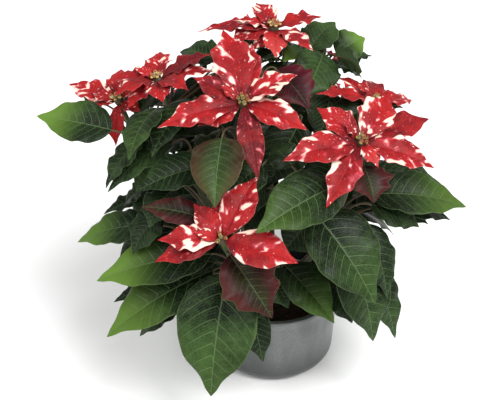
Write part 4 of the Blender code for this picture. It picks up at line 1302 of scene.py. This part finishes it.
def add_petiole(piece, blade, sheet, tint):
    """A petiole that bends up to its blade and carries on beneath it as the midrib's ridge."""
    bend = blade.base - blade.along * ((blade.base - blade.root).length * 0.35)
    path = []
    for i in range(PETIOLE_STEPS):
        t = i / PETIOLE_STEPS
        path.append(blade.root.lerp(bend, t).lerp(bend.lerp(blade.base, t), t))
    middle = sheet.shape[1] // 2
    rows = range(0, int(sheet.shape[0] * 0.9), 3)
    under = np.array(blade.normal)
    path += [sheet[row, middle] - under * 0.55 * MM for row in rows]
    shares = np.linspace(0, 1, len(path))
    radii = np.interp(shares, *PETIOLE_TAPER) * MM
    points, faces = tube(path, radii, PETIOLE_SIDES)
    along = np.repeat(shares, PETIOLE_SIDES)
    place = np.stack([along, along * 0, along * 0], axis=1)
    piece.add(points, faces, STALK, place, (0.5, 1.0, 0.0), tint)


def add_stem(piece, key):
    """A stem, a little swollen at even steps along it and sunk in the trunk at its foot."""
    path = smooth_path(stem_paths[key], 6)
    start = (path[0] - path[1]).normalized()
    path[0] = path[0] + start * 1.5 * MM
    shares = np.linspace(0, 1, len(path))
    radii = STEM_FOOT_RADIUS + (STEM_TOP_RADIUS - STEM_FOOT_RADIUS) * shares
    radii = radii + 0.25 * MM * np.maximum(0, np.sin(shares * 34)) ** 3
    points, faces = tube(path, radii, STEM_SIDES)
    along = np.repeat(shares, STEM_SIDES)
    place = np.stack([along, along * 0, along * 0], axis=1)
    piece.add(points, faces, STALK, place, (0.2, 0.0, 0.0), (0.0, 0.0, 0.0))


def note(tree, name):
    """The three numbers of a note that the points carry."""
    carried = wired(tree, "ShaderNodeAttribute", out=1, attribute_name=name)
    return [wired(tree, "ShaderNodeSeparateXYZ", carried, out=i) for i in range(3)]


def vein_mask(tree, along, across, rim, vein, midrib):
    """1 on the midrib and the side veins, and 0 between them."""
    near = maths(tree, "PINGPONG", vein, 0.5)
    side_veins = maths(tree, "SUBTRACT", 1.0, rising(tree, near, 0.015, 0.075))
    fading = maths(tree, "MULTIPLY_ADD", rim, -0.75, 1.0)
    side_veins = maths(tree, "MULTIPLY", side_veins, fading)
    away = maths(tree, "ABSOLUTE", across)
    narrowing = maths(tree, "MULTIPLY_ADD", along, -midrib * 0.7, midrib)
    rib = maths(tree, "LESS_THAN", away, narrowing)
    return maths(tree, "MAXIMUM", side_veins, rib)


def fine_net(tree, seed, vein, across, cells):
    """The net of small veins between the side veins, as the distance to the nearest one."""
    wide = maths(tree, "MULTIPLY", across, 7.0)
    spot = wired(tree, "ShaderNodeCombineXYZ", vein, wide, maths(tree, "MULTIPLY", seed, 9.0))
    return wired(tree, "ShaderNodeTexVoronoi", spot, cells, feature="DISTANCE_TO_EDGE")


leaf_finish, tree, shader = new_finish("Leaf", 0.48, 0.12)
along, across, rim = note(tree, "place")
seed, lower, vein = note(tree, "kind")
bright, purple, shade = note(tree, "tint")
place = place_of(tree)
cloud = noise(tree, place, 24.0, 3.0)
fine = noise(tree, place, 260.0, 3.0)
veins = vein_mask(tree, along, across, rim, vein, 0.008)
net = fine_net(tree, seed, vein, across, 4.5)
ripple = noise(tree, place, 110.0, 3.0)
sunlit = maths(tree, "MULTIPLY_ADD", rising(tree, cloud, 0.34, 0.66), 0.7, -0.18)
sunlit = maths(tree, "MULTIPLY_ADD", rising(tree, ripple, 0.36, 0.64), 0.32, sunlit)
sunlit = maths(tree, "MULTIPLY_ADD", fine, 0.5, maths(tree, "SUBTRACT", sunlit, 0.25))
# The shade note lightens or darkens the green: partly each leaf's own tone and partly painted light
# and shade.
level = maths(tree, "MULTIPLY_ADD", shade, 0.6, sunlit)
green = mixed(tree, level, rgb(0.0012, 0.0030, 0.0018), rgb(0.0270, 0.0540, 0.0150))
between = rising(tree, maths(tree, "PINGPONG", vein, 0.5), 0.0, 0.4)
threads = rising(tree, maths(tree, "PINGPONG", maths(tree, "MULTIPLY", vein, 4.0), 0.5), 0.16, 0.0)
green = mixed(tree, maths(tree, "MULTIPLY", threads, 0.16), green, rgb(0.070, 0.140, 0.042))
yellowing = maths(tree, "MULTIPLY", bright, rising(tree, along, 0.3, 0.9))
green = mixed(tree, yellowing, green, rgb(0.115, 0.215, 0.026))
flush = maths(tree, "MULTIPLY", purple, rising(tree, maths(tree, "ADD", cloud, fine), 0.55, 1.05))
netted = maths(tree, "MULTIPLY", rising(tree, net, 0.07, 0.0), 0.32)
green = mixed(tree, netted, green, rgb(0.080, 0.155, 0.045))
outer = rising(tree, rim, 0.2, 0.9)
crimson = mixed(tree, outer, rgb(0.024, 0.002, 0.005), rgb(0.060, 0.003, 0.008))
green = mixed(tree, flush, green, crimson)
vein_colour = mixed(tree, flush, rgb(0.105, 0.165, 0.066), rgb(0.075, 0.010, 0.014))
green = mixed(tree, maths(tree, "MULTIPLY", veins, 0.55), green, vein_colour)
edged = maths(tree, "MULTIPLY", rising(tree, rim, 0.95, 1.0), 0.3)
green = mixed(tree, edged, green, rgb(0.150, 0.210, 0.080))
pale = mixed(tree, veins, rgb(0.075, 0.135, 0.060), rgb(0.190, 0.250, 0.120))
green = mixed(tree, maths(tree, "MULTIPLY", lower, 0.8), green, pale)
tree.links.new(green, shader.inputs["Base Color"])
gloss = maths(tree, "MULTIPLY_ADD", fine, 0.3, 0.28)
tree.links.new(gloss, shader.inputs["Roughness"])
height = maths(tree, "ADD", maths(tree, "MULTIPLY", rising(tree, net, 0.0, 0.16), 0.5), between)
raise_bump(tree, shader, height, 0.8, 0.0008)

stalk_finish, tree, shader = new_finish("Stalk", 0.5, 0.35)
along = note(tree, "place")[0]
youth = note(tree, "kind")[0]
ruddy = noise(tree, place_of(tree), 70.0, 3.0)
young = maths(tree, "MULTIPLY_ADD", youth, 0.6, maths(tree, "MULTIPLY_ADD", ruddy, 0.8, -0.35))
# Painted shade: stems and petioles are darker at their inner ends, deep in the crown.
stalk = mixed(tree, along, rgb(0.022, 0.034, 0.011), rgb(0.055, 0.100, 0.028))
stalk = mixed(tree, young, stalk, rgb(0.110, 0.018, 0.018))
tree.links.new(stalk, shader.inputs["Base Color"])
raise_bump(tree, shader, ruddy, 0.3, 0.0003)


def leaf_tint(blade):
    """How yellow-green, purple and light each point of a leaf is: purple from its rim inwards, and
    painted shade that makes it lighter towards its tip and darker deep in the crown."""
    row = blade.look
    if row is None:
        bright = 0.15 * chance.random()
        shade = -0.35 + 0.5 * chance.random()
        row = Leaf(None, None, None, None, None, bright=bright, shade=shade)

    def tints(t, v, rim, points):
        # Painted shade: darker deep in the crown and towards the leaf's base, lighter towards its
        # tip.
        depth = np.linalg.norm((points - np.array(CROWN_CENTRE)) / np.array(CROWN_RADII), axis=1)
        crown_shade = np.clip(0.95 - depth, 0, 0.5)
        flushed = row.purple * np.clip(rim + 2 * row.purple - 1.2, 0, 1)
        return t * 0 + row.bright, flushed, row.shade + 0.8 * (t - 0.5) - 1.6 * crown_shade

    return tints


for key in HEADS:
    piece = Piece()
    add_stem(piece, key)
    for blade in [blade for blade in blades if blade.node == "leaves_" + key]:
        grid = RULED_GRID if blade.look is None else SEEN_GRID
        relief = LEAF_RELIEF * blade.length / USUAL_LEAF
        seed = chance.random()
        tint = leaf_tint(blade)
        sheet = add_blade(piece, blade, grid, seed, LEAF_VEINS, relief, LEAF_WAVE, tint)
        add_petiole(piece, blade, sheet, (0.0, 0.0, 0.0))
    leafy_stem = piece.made("leafy_stem_" + key, leaf_finish, stalk_finish)
    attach(leafy_stem, "root")
    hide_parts("leaves_" + key)


# The bracts. Each flower head is a rosette of thin red leaves round a small green knob at the
# stem's end. They are softer and duller than the leaves, with fewer and fainter veins, and the red
# is splashed and speckled with cream, most of all towards the edges.

BRACT_VEINS = 8
USUAL_BRACT = 70 * MM
BRACT_RELIEF = 0.3 * MM
BRACT_WAVE = 2.1 * MM
BRACT_GRID = (49, 25)
SMALL_GRID = (25, 13)

bract_finish, tree, shader = new_finish("Bract", 0.5, 0.14)
along, across, rim = note(tree, "place")
seed, lower, vein = note(tree, "kind")
cream, shade = note(tree, "tint")[:2]
place = place_of(tree)
veins = vein_mask(tree, along, across, rim, vein, 0.012)
net = fine_net(tree, seed, vein, across, 2.6)
cloud = noise(tree, place, 45.0, 3.0)
own = maths(tree, "MULTIPLY", seed, 31.0)
broad = maths(tree, "MULTIPLY", across, 8.0)
streaky = wired(tree, "ShaderNodeCombineXYZ", vein, broad, own)
blotch = noise(tree, streaky, 0.8, 1.5)
speck = noise(tree, streaky, 5.0, 1.0)
dot = wired(tree, "ShaderNodeTexVoronoi", streaky, 1.5)
ripple = noise(tree, place, 170.0, 3.0)
level = maths(tree, "MULTIPLY_ADD", rising(tree, cloud, 0.36, 0.64), 0.4, 0.25)
level = maths(tree, "MULTIPLY_ADD", rising(tree, ripple, 0.34, 0.66), 0.2, level)
# The shade note lightens or darkens the red, partly each bract's own tone and partly painted light
# and shade; the lightest turn pink.
level = maths(tree, "MULTIPLY_ADD", shade, 0.5, level)
red = mixed(tree, level, rgb(0.075, 0.003, 0.006), rgb(0.380, 0.009, 0.010))
pink = rising(tree, shade, 0.3, 0.9)
red = mixed(tree, maths(tree, "MULTIPLY", pink, 0.6), red, rgb(0.62, 0.12, 0.10))
netted = maths(tree, "MULTIPLY", rising(tree, net, 0.06, 0.0), 0.15)
red = mixed(tree, netted, red, rgb(0.62, 0.08, 0.06))
red = mixed(tree, maths(tree, "MULTIPLY", veins, 0.55), red, rgb(0.200, 0.005, 0.012))
threads = rising(tree, maths(tree, "PINGPONG", maths(tree, "MULTIPLY", vein, 4.0), 0.5), 0.16, 0.0)
red = mixed(tree, maths(tree, "MULTIPLY", threads, 0.14), red, rgb(0.560, 0.060, 0.050))
blotched = maths(tree, "SUBTRACT", blotch, maths(tree, "MULTIPLY_ADD", cream, -0.42, 0.7))
speckled = maths(tree, "SUBTRACT", speck, maths(tree, "MULTIPLY_ADD", cream, -0.1, 0.77))
dotted = maths(tree, "SUBTRACT", maths(tree, "MULTIPLY_ADD", cream, 0.34, 0.02), dot)
spread = maths(tree, "MAXIMUM", blotched, maths(tree, "MAXIMUM", speckled, dotted))
halo = maths(tree, "MULTIPLY", rising(tree, spread, -0.08, 0.005), 0.6)
red = mixed(tree, halo, red, rgb(0.560, 0.075, 0.110))
splash = rising(tree, spread, -0.02, 0.05)
white = mixed(tree, cloud, rgb(0.86, 0.70, 0.56), rgb(0.80, 0.52, 0.44))
white = mixed(tree, maths(tree, "MULTIPLY", veins, 0.35), white, rgb(0.62, 0.20, 0.16))
red = mixed(tree, splash, red, white)
edged = maths(tree, "MULTIPLY", rising(tree, rim, 0.94, 1.0), 0.35)
red = mixed(tree, edged, red, rgb(0.58, 0.15, 0.13))
under = mixed(tree, veins, rgb(0.46, 0.055, 0.060), rgb(0.58, 0.16, 0.15))
under = mixed(tree, maths(tree, "MULTIPLY", splash, 0.6), under, rgb(0.75, 0.46, 0.40))
red = mixed(tree, maths(tree, "MULTIPLY", lower, 0.85), red, under)
tree.links.new(red, shader.inputs["Base Color"])
gloss = maths(tree, "MULTIPLY_ADD", cloud, 0.2, 0.40)
tree.links.new(gloss, shader.inputs["Roughness"])
between = rising(tree, maths(tree, "PINGPONG", vein, 0.5), 0.0, 0.4)
height = maths(tree, "ADD", maths(tree, "MULTIPLY", rising(tree, net, 0.0, 0.16), 0.4), between)
raise_bump(tree, shader, height, 0.45, 0.0005)


def bract_tint(blade):
    """How much cream and how light a red each point of a bract has: most cream near its rim and
    round its own place, and painted shade that darkens the red at its root and lightens it
    towards its tip."""
    row = blade.look
    if row is None:
        cream = 0.1 + 0.4 * chance.random()
        shade = 0.2 - 0.5 * chance.random()
        row = Bract(None, None, None, cream=cream, along=0.6, shade=shade)

    def tints(t, v, rim, points):
        near = np.exp(-(((t - row.along) / 0.32) ** 2) - ((v - row.side) / 0.75) ** 2)
        cream = row.cream * (0.08 + 1.1 * rim**2 * (0.4 + 0.6 * near) + 0.25 * near)
        # Painted shade: a darker red at the root, and lighter towards the tip.
        root_shade = np.clip(0.35 - t, 0, 1) / 0.35
        return cream, row.shade - 0.9 * root_shade + 0.35 * (t - 0.5), t * 0

    return tints


def add_knob(piece, key):
    """The green knob at the stem's end that a head's bracts grow from."""
    centre, facing = head_place(HEADS[key])
    points, faces = turned(half_round(11), 18)
    turn = Vector((0, 0, 1)).rotation_difference(facing).to_matrix()
    points = np.array(points) * HUB_RADIUS @ np.array(turn).T + centre
    piece.add(points, faces, STALK, (0.1, 0.0, 0.0), (0.4, 0.0, 0.0), (0.0, 0.0, 0.0))


for key in HEADS:
    piece = Piece()
    add_knob(piece, key)
    for blade in [blade for blade in blades if blade.node == "bracts_" + key]:
        grid = SMALL_GRID if blade.look is None else BRACT_GRID
        relief = BRACT_RELIEF * blade.length / USUAL_BRACT
        seed = chance.random()
        tint = bract_tint(blade)
        add_blade(piece, blade, grid, seed, BRACT_VEINS, relief, BRACT_WAVE, tint)
    rosette = piece.made("rosette_" + key, bract_finish, stalk_finish)
    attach(rosette, "root")
    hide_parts("bracts_" + key)


# The cyathia. They are the real flowers: a tight cluster of little green cups in the middle of
# each rosette, each on a short stalk, with a yellow lip at its side and a tuft of red threads.

CUP_RADIUS = 2.1 * MM
CUP_LENGTH = 5.4 * MM
CUP_SIDES = 16
THREADS = 6
THREAD_RADII = (0.16, 0.16, 0.16, 0.16, 0.16, 0.2, 0.3)

# How many cups each head has, and how ripe they are: green at 0, and creamy yellow at 1.
CUPS = {"a": 7, "b": 7, "c": 6, "d": 4, "e": 7, "f": 6, "g": 5, "j": 5, "h": 6, "i": 6}
RIPE = {
    "a": 0.15, "b": 0.8, "c": 0.15, "d": 0.2, "e": 1.0,
    "f": 0.8, "g": 0.4, "j": 0.4, "h": 0.5, "i": 0.6,
}
CUP, LIP, THREAD = 0, 1, 2

cup_finish, tree, shader = new_finish("Cup", 0.45, 0.4)
place = place_of(tree)
patchy = noise(tree, place, 420.0, 3.0)
broad = noise(tree, place, 90.0, 2.0)
ripe = note(tree, "tint")[0]
cup_colour = mixed(tree, patchy, rgb(0.020, 0.042, 0.010), rgb(0.120, 0.150, 0.036))
creamy = mixed(tree, patchy, rgb(0.500, 0.400, 0.130), rgb(0.780, 0.640, 0.380))
ripened = maths(tree, "MULTIPLY", ripe, rising(tree, patchy, 0.3, 0.55))
cup_colour = mixed(tree, ripened, cup_colour, creamy)
cup_colour = mixed(tree, rising(tree, broad, 0.5, 0.7), cup_colour, rgb(0.260, 0.035, 0.025))
tree.links.new(cup_colour, shader.inputs["Base Color"])
raise_bump(tree, shader, patchy, 0.4, 0.0003)

lip_finish, tree, shader = new_finish("Lip", 0.3, 0.5)
waxy = noise(tree, place_of(tree), 300.0, 2.0)
lip_colour = mixed(tree, waxy, rgb(0.420, 0.280, 0.035), rgb(0.700, 0.540, 0.180))
dull = mixed(tree, waxy, rgb(0.090, 0.080, 0.018), rgb(0.330, 0.250, 0.070))
lip_colour = mixed(tree, note(tree, "tint")[0], dull, lip_colour)
tree.links.new(lip_colour, shader.inputs["Base Color"])
raise_bump(tree, shader, waxy, 0.3, 0.0002)

thread_finish, tree, shader = new_finish("Thread", 0.5, 0.35)
tufted = noise(tree, place_of(tree), 500.0, 2.0)
thread_colour = mixed(tree, tufted, rgb(0.200, 0.010, 0.012), rgb(0.620, 0.330, 0.100))
tree.links.new(thread_colour, shader.inputs["Base Color"])


def placed(points, turn, foot):
    """Points turned and set on a foot."""
    return np.array(points) @ np.array(turn.to_matrix()).T + np.array(foot)


def add_cup(piece, foot, lean, outward, size, ripe):
    """One cyathium: a stalk, a ribbed cup, the yellow lip on its outer side, and its threads."""
    turn = Vector((0, 0, 1)).rotation_difference(lean)
    sideways = turn.inverted() @ outward
    bearing = math.atan2(sideways.y, sideways.x)
    stalk = 0.38 * CUP_LENGTH * size
    top = CUP_LENGTH * size
    radius = CUP_RADIUS * size
    profile = [
        (0, -1.5 * MM), (0.8 * MM, -1.4 * MM), (0.75 * MM, stalk * 0.9),
        (radius * 0.62, stalk), (radius * 0.95, stalk + (top - stalk) * 0.3),
        (radius, stalk + (top - stalk) * 0.55), (radius * 0.82, stalk + (top - stalk) * 0.85),
        (radius * 0.66, top), (radius * 0.45, top - 0.3 * MM), (0, top - 0.9 * MM),
    ]
    points, faces = turned(profile[::-1], CUP_SIDES)
    points = np.array(points)
    ribs = 1 + 0.06 * np.cos(5 * np.arctan2(points[:, 1], points[:, 0]))
    points[:, :2] *= ribs[:, None]
    piece.add(placed(points, turn, foot), faces, CUP, (0, 0, 0), (0, 0, 0), (ripe, 0, 0))
    lip, faces = turned(half_round(8), 12)
    lip = np.array(lip) * (0.55 * radius, 0.8 * radius, 0.5 * radius)
    lip[:, 2] -= 0.25 * radius * (lip[:, 0] / radius) ** 2
    about = Quaternion((0, 0, 1), bearing)
    out = Vector((math.cos(bearing), math.sin(bearing), 0)) * radius * 0.85
    lip = placed(lip, about, out + Vector((0, 0, top - 0.8 * MM * size)))
    piece.add(placed(lip, turn, foot), faces, LIP, (0, 0, 0), (0, 0, 0), (ripe, 0, 0))
    for i in range(THREADS):
        angle = i * FULL_TURN / THREADS + bearing
        start = Vector((math.cos(angle), math.sin(angle), 0)) * radius * 0.3
        tip = start * (1.6 + 0.3 * (i % 2)) + Vector((0, 0, (1.3 + 0.5 * (i % 3)) * MM * size))
        mouth = Vector((0, 0, top))
        path = [start + mouth - Vector((0, 0, 0.9 * MM)), start + mouth, tip + mouth]
        points, faces = tube(smooth_path(path, 3), np.array(THREAD_RADII) * MM, 6)
        piece.add(placed(points, turn, foot), faces, THREAD, (0, 0, 0), (0, 0, 0), (0, 0, 0))


for key in HEADS:
    centre, facing = head_place(HEADS[key])
    piece = Piece()
    for i in range(CUPS[key]):
        around = level_in(key, i * 360 / max(1, CUPS[key] - 1) + 15)
        outward = (facing + around * (0.0 if i == 0 else 0.7)).normalized()
        foot = centre + outward * (HUB_RADIUS - 0.8 * MM)
        lean = (facing + around * (0.0 if i == 0 else 0.5)).normalized()
        size = 1.1 if i == 0 else 0.75 + 0.35 * chance.random()
        add_cup(piece, foot, lean, around, size, RIPE[key])
    cluster = piece.made("cyathia_cluster_" + key, cup_finish, lip_finish, thread_finish)
    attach(cluster, "root")
    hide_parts("cyathia_" + key)


# The finished plant keeps to the size of the plain solids, and both boxes are gathered here.

boxes = {"cad": cad_box, "visual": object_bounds()}
plain = {name: [list(map(float, corner)) for corner in box] for name, box in boxes.items()}
